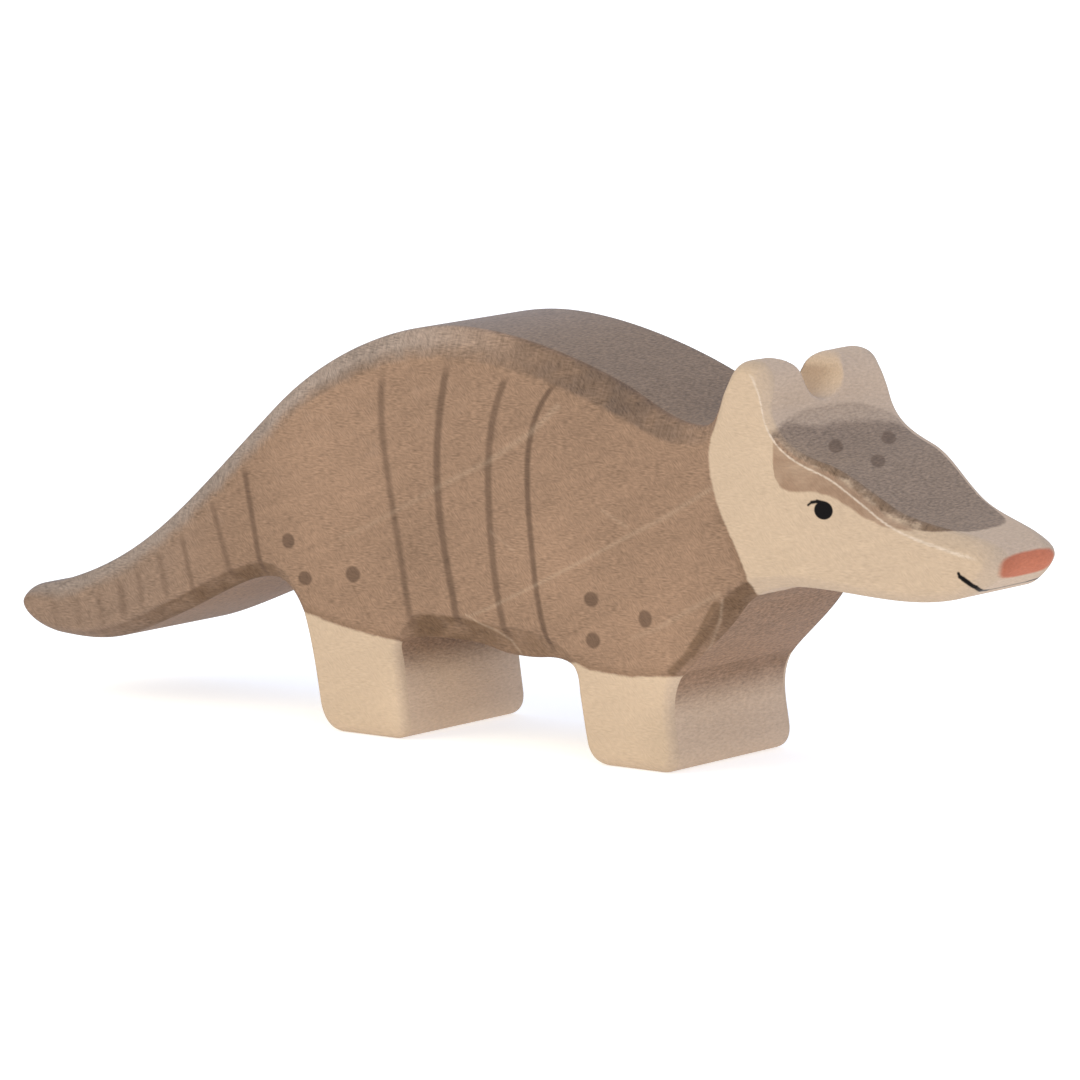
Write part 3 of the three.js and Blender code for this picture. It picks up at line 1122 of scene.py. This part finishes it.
@dataclass(frozen=True)
class PaintedHardwood:
    """Pale hardwood with brown stain, brush lines and a painted face, matt and slightly rubbed at the edges,
    with painted highlights along edges and painted shade on facets that face down.

    Args:
        bare: The sanded wood.
        bare_under_cool_light: A slightly lighter, cooler copy of the sanded wood, painted on the sawn faces
            for the cooler light that falls on them.
        stain: The brown stain over the body.
        soaked_and_shaded: The darker stain on the steep chamfers, where more of it sank in; on the facets
            that face down it is painted shade.
        crown: The greyer stain on the sawn upper face.
        ridge: The stain on the chamfer along the back, between crown and side.
        grey_stain_and_skylight: The paler, greyer stain: on the upper facets of tail and rump it is painted
            cool light from above, and it greys the tail's sides a little.
        mask: The greyer brown over the forehead.
        patch: The lighter brown beside the eye.
        line: The brush lines and dots.
        nose: The coral nose.
        black: Eye and mouth.
        pale_wood_and_highlight: The pale wood along rubbed edges, also used as a painted highlight along
            sharp edges.
        roughness: Roughness of the matt surface.
        gloss: Strength of the reflection.
        slope: Angle at which the growth lines rise over the side, in radians.
        scratch: Angle of the sanding scratches, in radians.
        face: The features of the head.
        borders: Where stain and patches end.
        patches: X, Z, radius and strength of broad lighter and darker patches of the stain; the lighter one
            before the hind leg is painted light on the shade under the belly.
    """

    bare: Colour = (0.478, 0.362, 0.261)
    bare_under_cool_light: Colour = (0.496, 0.374, 0.276)
    stain: Colour = (0.256, 0.163, 0.109)
    soaked_and_shaded: Colour = (0.140, 0.084, 0.050)
    crown: Colour = (0.236, 0.168, 0.120)
    ridge: Colour = (0.158, 0.108, 0.082)
    grey_stain_and_skylight: Colour = (0.276, 0.216, 0.180)
    mask: Colour = (0.252, 0.184, 0.135)
    patch: Colour = (0.275, 0.180, 0.122)
    line: Colour = (0.097, 0.059, 0.040)
    nose: Colour = (0.455, 0.150, 0.084)
    black: Colour = (0.004, 0.003, 0.003)
    pale_wood_and_highlight: Colour = (0.600, 0.500, 0.410)
    roughness: float = 0.62
    gloss: float = 0.08
    slope: float = 0.42
    scratch: float = -0.8
    face: FacePaint = FacePaint()
    borders: Borders = Borders()
    patches: tuple[tuple[float, float, float, float], ...] = (
        (-25.0, 36.0, 18.0, 0.13),
        (31.0, 18.0, 16.0, 0.12),
        (20.0, 48.0, 15.0, -0.05),
        (-10.0, 26.0, 12.0, -0.08),
        (14.0, 27.0, 10.0, 0.14),
        (42.0, 20.0, 9.0, -0.10),
        (33.0, 5.0, 8.0, -0.07),
        # painted light: lifts the shade on the hind leg's front, under the belly
        (-11.5, 5.0, 7.0, 0.08),
    )

    def _stripes(self) -> tuple[Stripe, ...]:
        """Lists the lines over the body and those along the tail, fainter towards its tip.

        Returns:
            The lines, from the loins to the shoulder and then down the tail.
        """
        first = ((-14.7, 51.6), (-15.2, 43.1), (-14.1, 36.3), (-12.9, 29.6), (-11.6, 22.9), (-10.4, 17.5),
                 (-10.2, 15.4))
        second = ((-3.8, 53.6), (-4.2, 50.8), (-5.6, 43.9), (-5.8, 37.1), (-5.0, 30.3), (-3.9, 23.6),
                  (-2.5, 18.0), (-2.2, 16.0))
        third = ((6.0, 51.4), (4.4, 48.1), (3.1, 41.2), (2.9, 34.4), (3.5, 27.7), (4.5, 21.0), (5.6, 17.2),
                 (6.2, 14.9))
        fourth = ((14.2, 51.2), (11.7, 48.0), (9.7, 41.7), (9.4, 35.0), (10.3, 28.3), (11.2, 21.6),
                  (12.6, 16.3), (13.6, 14.4))
        return (
            Stripe(first, 1.05, 0.62, 0.4, 4.0, 2.6),
            Stripe(second, 1.15, 0.72, 0.32, 4.0, 2.2),
            Stripe(third, 1.1, 0.68, 0.32, 1.2, 2.2),
            Stripe(fourth, 0.9, 0.8, 0.28, 1.2, 1.6),
            Stripe(((-39.1, 35.4), (-38.2, 30.8), (-36.7, 24.0), (-36.0, 20.4)), 0.9, 0.72, 0.3, 1.2, 1.4),
            Stripe(((-44.9, 30.2), (-43.6, 26.2), (-41.7, 20.8), (-41.2, 19.0)), 0.9, 0.54, 0.42, 1.4, 1.6),
            Stripe(((-50.3, 25.2), (-49.3, 21.5), (-48.4, 18.2), (-48.0, 16.6)), 0.8, 0.48, 0.32, 1.2, 1.6),
            Stripe(((-54.4, 22.2), (-53.5, 19.0), (-52.8, 15.5)), 0.85, 0.40, 0.4, 1.0, 1.6),
            Stripe(((-58.2, 19.5), (-57.8, 17.9), (-57.3, 13.5)), 0.85, 0.35, 0.4, 1.0, 1.6),
            Stripe(((-61.6, 17.8), (-61.1, 16.2), (-60.6, 12.0)), 1.3, 0.42, 0.55, 1.2, 1.6),
            Stripe(((-65.2, 16.0), (-64.9, 13.8), (-64.6, 10.8)), 0.9, 0.28, 0.45, 1.2, 1.4),
            Stripe(((-69.2, 15.0), (-68.9, 12.7), (-68.6, 10.0)), 0.9, 0.22, 0.45, 1.2, 1.4),
            Stripe(((-73.8, 14.5), (-73.1, 12.0), (-72.8, 9.8)), 0.9, 0.18, 0.45, 1.2, 1.4),
        )

    def _dots(self) -> tuple[Dot, ...]:
        """Lists the dots on the haunch and the shoulder.

        Returns:
            The dots.
        """
        return (
            Dot(-31.4, 25.8, 1.10, 1.10),
            Dot(-28.5, 20.9, 1.20, 0.98),
            Dot(-20.2, 22.2, 1.27, 1.15),
            Dot(20.1, 22.5, 1.20, 1.05),
            Dot(29.0, 20.7, 1.12, 1.22),
            Dot(20.4, 17.0, 1.20, 1.10),
        )

    def _pale(self) -> tuple[Stroke, ...]:
        """Lists pale lines along the creases at the belly and the chest, paint rubbed off and a painted
        highlight, and pale streaks of growth across the side.

        Returns:
            The strokes.
        """
        y = SIDE_Y
        # pale line along the crease between the belly's two chamfers: paint rubbed off and a painted
        # highlight
        belly = ((-0.9, y, 18.4), (1.3, y, 17.3), (4.0, y, 16.5), (6.1, y, 15.2), (7.2, -13, 13.6))
        shoulder = ((-0.3, y, 18.3), (2.8, y, 19.6), (10.1, y, 23.2), (19.0, y, 27.7), (26.3, y, 31.6))
        flank = ((-22.4, y, 27.0), (-17.9, y, 28.9), (-8.3, y, 33.9), (-4.3, y, 36.1), (3.1, y, 39.7),
                 (10.1, y, 44.2), (14.5, y, 48.0))
        elbow = ((27.0, y, 18.0), (31.0, y, 19.6), (36.0, y, 22.4), (41.0, y, 25.2))
        # the same along the crease of the chest's chamfer
        chest = ((41.4, -13.7, 24.4), (40.8, -13.3, 21.6), (38.6, -12.4, 17.7), (36.2, -11.6, 15.4))
        return (
            Stroke(belly, 0.16, 0.2, (0.55, 0.4), 0.2),
            Stroke(shoulder, 0.14, 0.22, (0.4, 0.36), 0.35),
            Stroke(((26.3, y, 31.6), (32.2, y, 34.6), (40.4, y, 39.5)), 0.24, 0.3, (0.32, 0.32), 0.4),
            Stroke(((21.9, y, 34.6), (26.0, y, 32.8)), 0.2, 0.2, (0.3, 0.22), 0.4),
            Stroke(((3.2, y, 30.2), (7.2, y, 27.8)), 0.12, 0.12, (0.26, 0.2), 0.25),
            Stroke(flank, 0.16, 0.4, (0.2, 0.36), 0.45),
            Stroke(elbow, 0.25, 0.25, (0.16, 0.36), 0.5),
            Stroke(chest, 0.14, 0.2, (0.45, 0.5), 0.28),
        )

    def _smears(self) -> tuple[Stroke, ...]:
        """Lists dark smears on the chest's chamfer, and fine dark marks on the haunch and beside the neck.

        Returns:
            The strokes.
        """
        y = SIDE_Y
        chest = ((33.4, y, 13.9), (36.2, -13.8, 16.5), (38.6, -13.8, 19.8), (40.6, -13.9, 23.2))
        throat = ((42.3, -13.2, 23.9), (43.8, -13.1, 25.2), (45.6, -13.2, 26.4))
        return (
            Stroke(chest, 0.5, 0.95, (1.0, 0.95), 0.26),
            Stroke(throat, 0.7, 0.7, (0.6, 0.75), 0.4),
            Stroke(((-20.3, y, 20.6), (-18.6, y, 18.2), (-16.6, y, 15.6)), 0.1, 0.1, (0.5, 0.35), 0.2),
            Stroke(((40.6, y, 34.6), (41.4, y, 31.6), (43.0, y, 29.2)), 0.1, 0.1, (0.25, 0.3), 0.35),
            Stroke(((37.0, y, 30.6), (39.4, y, 28.8), (41.8, y, 27.0)), 0.1, 0.1, (0.2, 0.2), 0.35),
        )

    def _stained(self, s: Surface) -> tuple[Shade, Shade]:
        """Where the stain covers the body: it ends above the legs and along the neck.

        Args:
            s: The surface.

        Returns:
            How far a point is stained, and how far stain pooled there along the border.
        """
        over_leg = s.z - s.x.bent(self.borders.legs) + s.waver
        over_front = s.z - s.x.bent(self.borders.leg_fronts) + s.waver
        sharp, faded = over_leg.ramp(-0.25, 0.25), over_front.ramp(-3.0, 3.0)
        leg_front = s.x.ramp(-14.5, -13.4) * s.x.ramp(-9.0, -10.5) + s.x.ramp(31.0, 32.5)
        above = sharp + (faded - sharp) * s.sawn * leg_front
        behind_neck = s.line_x(self.borders.neck, 4, 24.5, 56.0) - s.x + s.waver
        pooled = (behind_neck.ramp(1.8, 0.3) * s.z.ramp(40.0, 34.0)).at_least(over_leg.ramp(1.6, 0.2))
        return above * behind_neck.ramp(-0.25, 0.25), pooled

    def _masked(self, s: Surface) -> Shade:
        """How far a point lies in the mask over the forehead, which thins out along its upper border.

        Args:
            s: The surface.

        Returns:
            The share.
        """
        # its front end is a flat bow across the snout, its upper end a shallow arch over the forehead
        front = (abs(s.y + 0.9) / 6.4) ** 3.76 * -1.6 + self.face.mask_tip
        off = (s.y + 1.0) * (s.y + 1.0)
        top = off * (off * -0.0000385 - 0.00903) + self.face.mask_top
        halo = (s.z - top + s.wobble * 0.12).ramp(0.35, -0.35)
        lag = s.y.ramp(-13.0, -4.0) * 2.5 - s.y.ramp(5.0, 13.0) * 1.0 - 0.45
        core = (s.z - top + lag + s.wobble * 0.15).ramp(0.3, -0.9)
        masked = (halo * 0.42 + core * 0.58) * (s.x - front + s.waver).ramp(0.3, -0.3) * s.x.ramp(46.0, 47.5)
        over_edge = s.x.ramp(55.0, 53.0).at_least(s.y.ramp(0.0, 4.0)) * s.across.ramp(0.0, 0.08)
        return masked * s.across.ramp(0.08, 0.3).at_least(over_edge) * s.z.ramp(32.5, 33.5)

    def _eye_patched(self, s: Surface) -> Shade:
        """How far a point lies in the patch beside the eye.

        Args:
            s: The surface.

        Returns:
            The share.
        """
        above = (s.z - s.x.bent(self.borders.eye_patch) + s.waver).ramp(-0.22, 0.22)
        patched = above * s.x.ramp(49.4, 49.8) * s.x.ramp(70.0, 68.5)
        return patched * s.across.ramp(0.45, 0.2) * s.z.ramp(47.0, 46.0)

    def _lines(self, s: Surface) -> Shade:
        """How dark the brush lines and dots are.

        Args:
            s: The surface.

        Returns:
            The share of their colour.
        """
        lines = strongest([s.stripe(stripe) for stripe in self._stripes()])
        dots = strongest([s.dot(dot) for dot in self._dots()])
        lines = lines.at_least(dots) * s.across.ramp(0.97, 0.85) * (s.along * 0.12 + 0.95)
        forehead = []
        for x, y in self.face.forehead:
            length = ((s.x - x) * 0.8 + (s.y - y) * 0.6) / self.face.dot[0]
            breadth = ((s.x - x) * 0.53 - (s.y - y) * 0.12) / self.face.dot[1]
            dab = (length * length + breadth * breadth).root().ramp(1.2, 0.8)
            forehead.append(dab * s.z.ramp(40.0, 41.0) * self.face.dot_strength)
        return lines.at_least(strongest(forehead))

    def _stain_colour(self, s: Surface, pooled: Shade) -> Shade:
        """Colour of the stained wood.

        Args:
            s: The surface.
            pooled: How far stain pooled along its border.

        Returns:
            The colour.
        """
        upper = (s.z - s.x.bent(self.borders.upper)).ramp(-2.0, 2.0)
        # chamfers are darker: stain that sank in, and painted shade on the facets under belly, chest and tail
        deep_stain_and_shade = ((s.soak_and_shade * (s.blotch * 0.45 + 0.85) + s.wobble * 0.2 + s.weave * 0.1) * s.bevel).kept()
        # the upper facets towards the rear are painted paler and greyer for the cool light that falls on them
        # from above
        skylit_upper = upper * (s.across + s.blotch * 0.08 + s.wobble * 0.05).ramp(0.0, 0.45) * s.x.ramp(14.0, -16.0)
        tail = s.x.ramp(-24.0, -44.0) * 0.1 + s.x.ramp(-50.0, -66.0) * 0.04
        body = (s.x.ramp(-38.0, -60.0) * 0.25).blend(self.stain, self.grey_stain_and_skylight)
        body = skylit_upper.blend((s.sawn * upper).blend(body, self.crown), self.grey_stain_and_skylight)
        body = deep_stain_and_shade.blend(body, upper.blend(self.soaked_and_shaded, self.ridge)).tint(1.0 - tail)
        body = (pooled * (s.blotch * 0.25 + 0.3)).at_least(0.0).blend(body, self.soaked_and_shaded)
        # the chamfer along the back is darker at both of its edges, and over the shoulder
        side_corner = s.across.ramp(0.06, 0.14) * s.across.ramp(0.42, 0.3)
        sawn_corner = s.across.ramp(0.86, 0.94) * (1.0 - s.sawn)
        band = (side_corner + sawn_corner) * s.x.ramp(-34.0, -26.0) * s.x.ramp(12.0, 0.0) * 0.14
        band = band + s.bevel * s.x.ramp(3.0, 10.0) * s.x.ramp(36.0, 31.0) * 0.14
        return body.tint(1.0 - upper * (band - s.bevel * s.x.ramp(-22.0, -12.0) * s.x.ramp(8.0, 2.0) * 0.09))

    def _bare_colour(self, s: Surface) -> Shade:
        """Colour of the bare wood, lighter and cooler on the sawn faces for the light that falls there, with
        painted shade towards the bottom and the rear end of the groove.

        Args:
            s: The surface.

        Returns:
            The colour.
        """
        # painted shade in the groove between the ears, in the stain's colour, darkest at its bottom and rear
        # end
        painted_groove_shade = s.sawn * s.x.ramp(41.0, 42.5) * s.x.ramp(49.6, 48.9)
        painted_groove_shade = painted_groove_shade * s.z.ramp(54.6, 53.4) * s.z.ramp(49.0, 50.2)
        painted_groove_shade = painted_groove_shade * abs(s.y - GROOVE_Y).ramp(5.2, 4.4) * s.x.ramp(48.2, 44.2) * 0.45
        # the sawn faces get a lighter, cooler copy of the bare wood, painted for the light there
        return painted_groove_shade.blend(s.sawn.blend(self.bare, self.bare_under_cool_light), self.stain)

    def _face(self, s: Surface, colour: Shade) -> tuple[Shade, Shade]:
        """Paints nose, eyes, lashes and mouth.

        Args:
            s: The surface.
            colour: The colour beneath.

        Returns:
            The colour with the face, and how far a point is painted black.
        """
        (nose_y, nose_z), (half_y, half_z) = self.face.nose, self.face.nose_size
        coral = (abs(s.y - nose_y) / half_y) ** 3.0 + (abs(s.z - nose_z) / half_z) ** 3.0
        coral = (coral + s.wobble * 0.1).ramp(1.45, 0.7) * s.x.ramp(76.0, 77.5)
        colour = coral.blend(colour, self.nose)
        colour = colour.tint(1.0 - coral * s.y.ramp(-0.5, -5.0) * 0.13)
        (eye_x, eye_z), (wide, high) = self.face.eye, self.face.eye_size
        across, up = (s.x - eye_x) / wide, (s.z - eye_z) / high
        eye = (across * across + up * up).root().ramp(1.08, 0.92) * s.across.ramp(0.2, 0.0)
        black = strongest([eye, *(s.stroke(stroke) for stroke in self.face.strokes)])
        return black.blend(colour, self.black), black

    def _grain(self, s: Surface, painted: Shade) -> Shade:
        """How much lighter grain, brush marks and broad patches make a point.

        Args:
            s: The surface.
            painted: How far it is stained.

        Returns:
            The share by which it is lighter.
        """
        woven = s.bevel * s.z.ramp(24.0, 28.0) * painted
        broad: Shade | float = 0.0
        for patch in self.patches:
            broad = s.patch(patch) + broad
        grain = s.fleck * (painted * 0.22 + 0.12) + s.wobble * painted * 0.035 + s.cloud * 0.03
        grain = grain + s.weave * woven * 0.2 + s.blotch * painted * 0.03
        growth = s.figure * (painted * 0.05 + 0.03) + s.swirl * painted * 0.07
        return grain + growth * (1.0 - s.sawn) + broad

    def _coat(self, s: Surface) -> tuple[Shade, Shade]:
        """Lays the colours over each other, from the bare wood up.

        Args:
            s: The surface.

        Returns:
            The finished colour, and how far a point is painted black.
        """
        stained, pooled = self._stained(s)
        colour = stained.blend(self._bare_colour(s), self._stain_colour(s, pooled))
        # the mask is ragged on the right chamfer, where darker stain sank in
        ragged = s.bevel * s.x.ramp(52.0, 56.5) * s.y.ramp(0.0, -4.0)
        smudge = (s.across * 1.6 + s.blotch * 0.55 + s.wobble * 0.45 - 0.54).ramp(-0.4, 0.4)
        masked = self._masked(s) * (1.0 - ragged * (1.0 - smudge) * 0.8)
        colour = masked.blend(colour, (ragged * (s.blotch * 0.5 + 0.5)).blend(self.mask, self.soaked_and_shaded))
        patched = self._eye_patched(s) * (s.blotch * 0.3 + s.wobble * 0.1 + 0.86)
        colour = patched.blend(colour, self.patch)
        # smears, lines and dots, pale streaks, and painted highlights along the creases of belly and chest
        smeared = s.marks(self._smears()) * (s.wobble * 0.3 + 0.8) * stained
        colour = self._lines(s).blend(smeared.blend(colour, self.soaked_and_shaded), self.line)
        colour = (s.marks(self._pale()) * s.across.ramp(0.97, 0.85) * 0.6).blend(colour, self.bare)
        # edges rubbed pale and given a painted highlight, less so on the left side of the head
        rub_and_highlight = s.rub_and_highlight * (1.0 - s.y.ramp(0.0, 4.0) * s.x.ramp(50.0, 52.0) * 0.7)
        rubbed_and_highlit = (rub_and_highlight * (s.wobble * 0.4 + s.along * 0.35 + 0.95)).ramp(0.2, 0.9) * 0.72
        colour, black = self._face(s, rubbed_and_highlit.blend(colour, self.pale_wood_and_highlight))
        return colour.tint(self._grain(s, (stained + masked).at_most(1.0)) + 1.0), black

    def build(self, toy: bpy.types.Object) -> bpy.types.Material:
        """Makes the material.

        Args:
            toy: The toy's object, whose surface places the strokes.

        Returns:
            The material.
        """
        material = bpy.data.materials.new("painted_hardwood")
        material.use_nodes = True
        tree = material.node_tree
        tree.nodes.clear()
        sheet = Sheet(tree)
        s = Surface(sheet, toy, self.slope, self.scratch)
        colour, black = self._coat(s)
        relief = {"Strength": 0.3, "Distance": 0.08 * MM, "Height": s.fleck + s.wobble * 0.6}
        values = {
            "Base Color": colour,
            "Roughness": s.fleck * 0.04 + self.roughness - black * 0.2,
            "Normal": sheet.node("ShaderNodeBump", None, relief),
            "Specular IOR Level": self.gloss,
        }
        surface = sheet.node("ShaderNodeBsdfPrincipled", None, values)
        end = tree.nodes.new("ShaderNodeOutputMaterial")
        tree.links.new(surface.socket, end.inputs["Surface"])
        return material


# ---- studio --------------------------------------------------------------------------------------


@dataclass
class Studio:
    """A plain white sheet, soft sky light and one broad warm light, with the camera before the right side.

    Args:
        turn: Angle of the camera from straight before the right side towards the nose, in degrees.
        rise: Angle of the camera above the level, in degrees.
        distance: Distance of the camera from its aim.
        aim: The point in the middle of the view.
        lens: Focal length for a 36 mm wide picture.
        sky: Colour and strength of the soft light from all around.
        key: Colour and strength of the broad light.
        key_from: Direction from which the broad light comes.
        fill: Colour and strength of the weaker light from before the nose.
        fill_from: Direction from which it comes.
        spread: Angle over which each of the two lights is spread, in degrees.
        sheet: Half of the width of the floor.
        paper: Colour of the floor.
        glow: Light that comes through the floor, as on a light table.
    """

    turn: float = 36.765
    rise: float = 8.474
    distance: float = 1200.0
    aim: Triple = (1.12, 0.0, 27.14)
    lens: float = 294.49
    sky: Colour = (0.71, 0.80, 1.01)
    key: Colour = (0.42, 0.35, 0.15)
    key_from: Triple = (-0.42, -0.68, 0.60)
    fill: Colour = (0.36, 0.30, 0.20)
    fill_from: Triple = (0.70, -0.70, 0.08)
    spread: float = 42.0
    sheet: float = 3500.0
    paper: Colour = (0.72, 0.72, 0.72)
    glow: float = 0.57

    def floor(self) -> bpy.types.Object:
        """Lays the white sheet on which the toy stands.

        Returns:
            The sheet's object.
        """
        s = self.sheet * MM
        mesh = bpy.data.meshes.new("paper_floor")
        mesh.from_pydata([(-s, -s, 0), (s, -s, 0), (s, s, 0), (-s, s, 0)], [], [(0, 1, 2, 3)])
        material = bpy.data.materials.new("white_paper")
        material.use_nodes = True
        shader = material.node_tree.nodes["Principled BSDF"]
        matt = {"Base Color": (*self.paper, 1), "Roughness": 0.9, "Specular IOR Level": 0.1}
        for name, value in (matt | {"Emission Color": (1, 1, 1, 1), "Emission Strength": self.glow}).items():
            shader.inputs[name].default_value = value
        mesh.materials.append(material)
        floor = bpy.data.objects.new("paper_floor", mesh)
        bpy.context.collection.objects.link(floor)
        return floor

    def light(self) -> None:
        """Sets the sky light, the broad light and the weaker fill."""
        world = bpy.data.worlds.new("soft_sky")
        world.use_nodes = True
        strength = max(self.sky)
        sky = world.node_tree.nodes["Background"]
        sky.inputs["Color"].default_value = (*(c / strength for c in self.sky), 1)
        sky.inputs["Strength"].default_value = strength
        bpy.context.scene.world = world
        for name, colour, way in (("key", self.key, self.key_from), ("fill", self.fill, self.fill_from)):
            strength = max(colour)
            lamp = bpy.data.lights.new(f"{name}_light", "SUN")
            lamp.color = tuple(c / strength for c in colour)
            lamp.energy = strength * math.pi
            lamp.angle = math.radians(self.spread)
            light = bpy.data.objects.new(f"{name}_light", lamp)
            light.rotation_euler = Vector(way).to_track_quat("Z", "Y").to_euler()
            bpy.context.collection.objects.link(light)

    def camera(self) -> bpy.types.Object:
        """Places the camera and gives it to the scene.

        Returns:
            The camera's object.
        """
        turn, rise = math.radians(self.turn), math.radians(self.rise)
        back = Vector((math.sin(turn) * math.cos(rise), -math.cos(turn) * math.cos(rise), math.sin(rise)))
        data = bpy.data.cameras.new("camera")
        data.lens, data.sensor_width = self.lens, 36.0
        data.clip_start, data.clip_end = 0.05, 20.0
        camera = bpy.data.objects.new("camera", data)
        camera.location = (Vector(self.aim) + back * self.distance) * MM
        camera.rotation_euler = back.to_track_quat("Z", "Y").to_euler()
        bpy.context.collection.objects.link(camera)
        bpy.context.scene.camera = camera
        return camera

    def set_up(self) -> None:
        """Builds floor, light and camera."""
        self.floor()
        self.light()
        self.camera()
        bpy.context.scene.view_settings.view_transform = "Standard"


def main() -> None:
    """Builds the toy and its studio in the part's frame."""
    body = SawnArmadillo()
    toy = body.build()
    body.dress(toy, PaintedHardwood())
    log.info("piece %s: %d faces", toy.name, len(toy.data.polygons))
    Studio().set_up()
    log.info("studio ready")


if __name__ == "__main__":
    logging.basicConfig(level=logging.INFO, format="%(message)s")
    main()
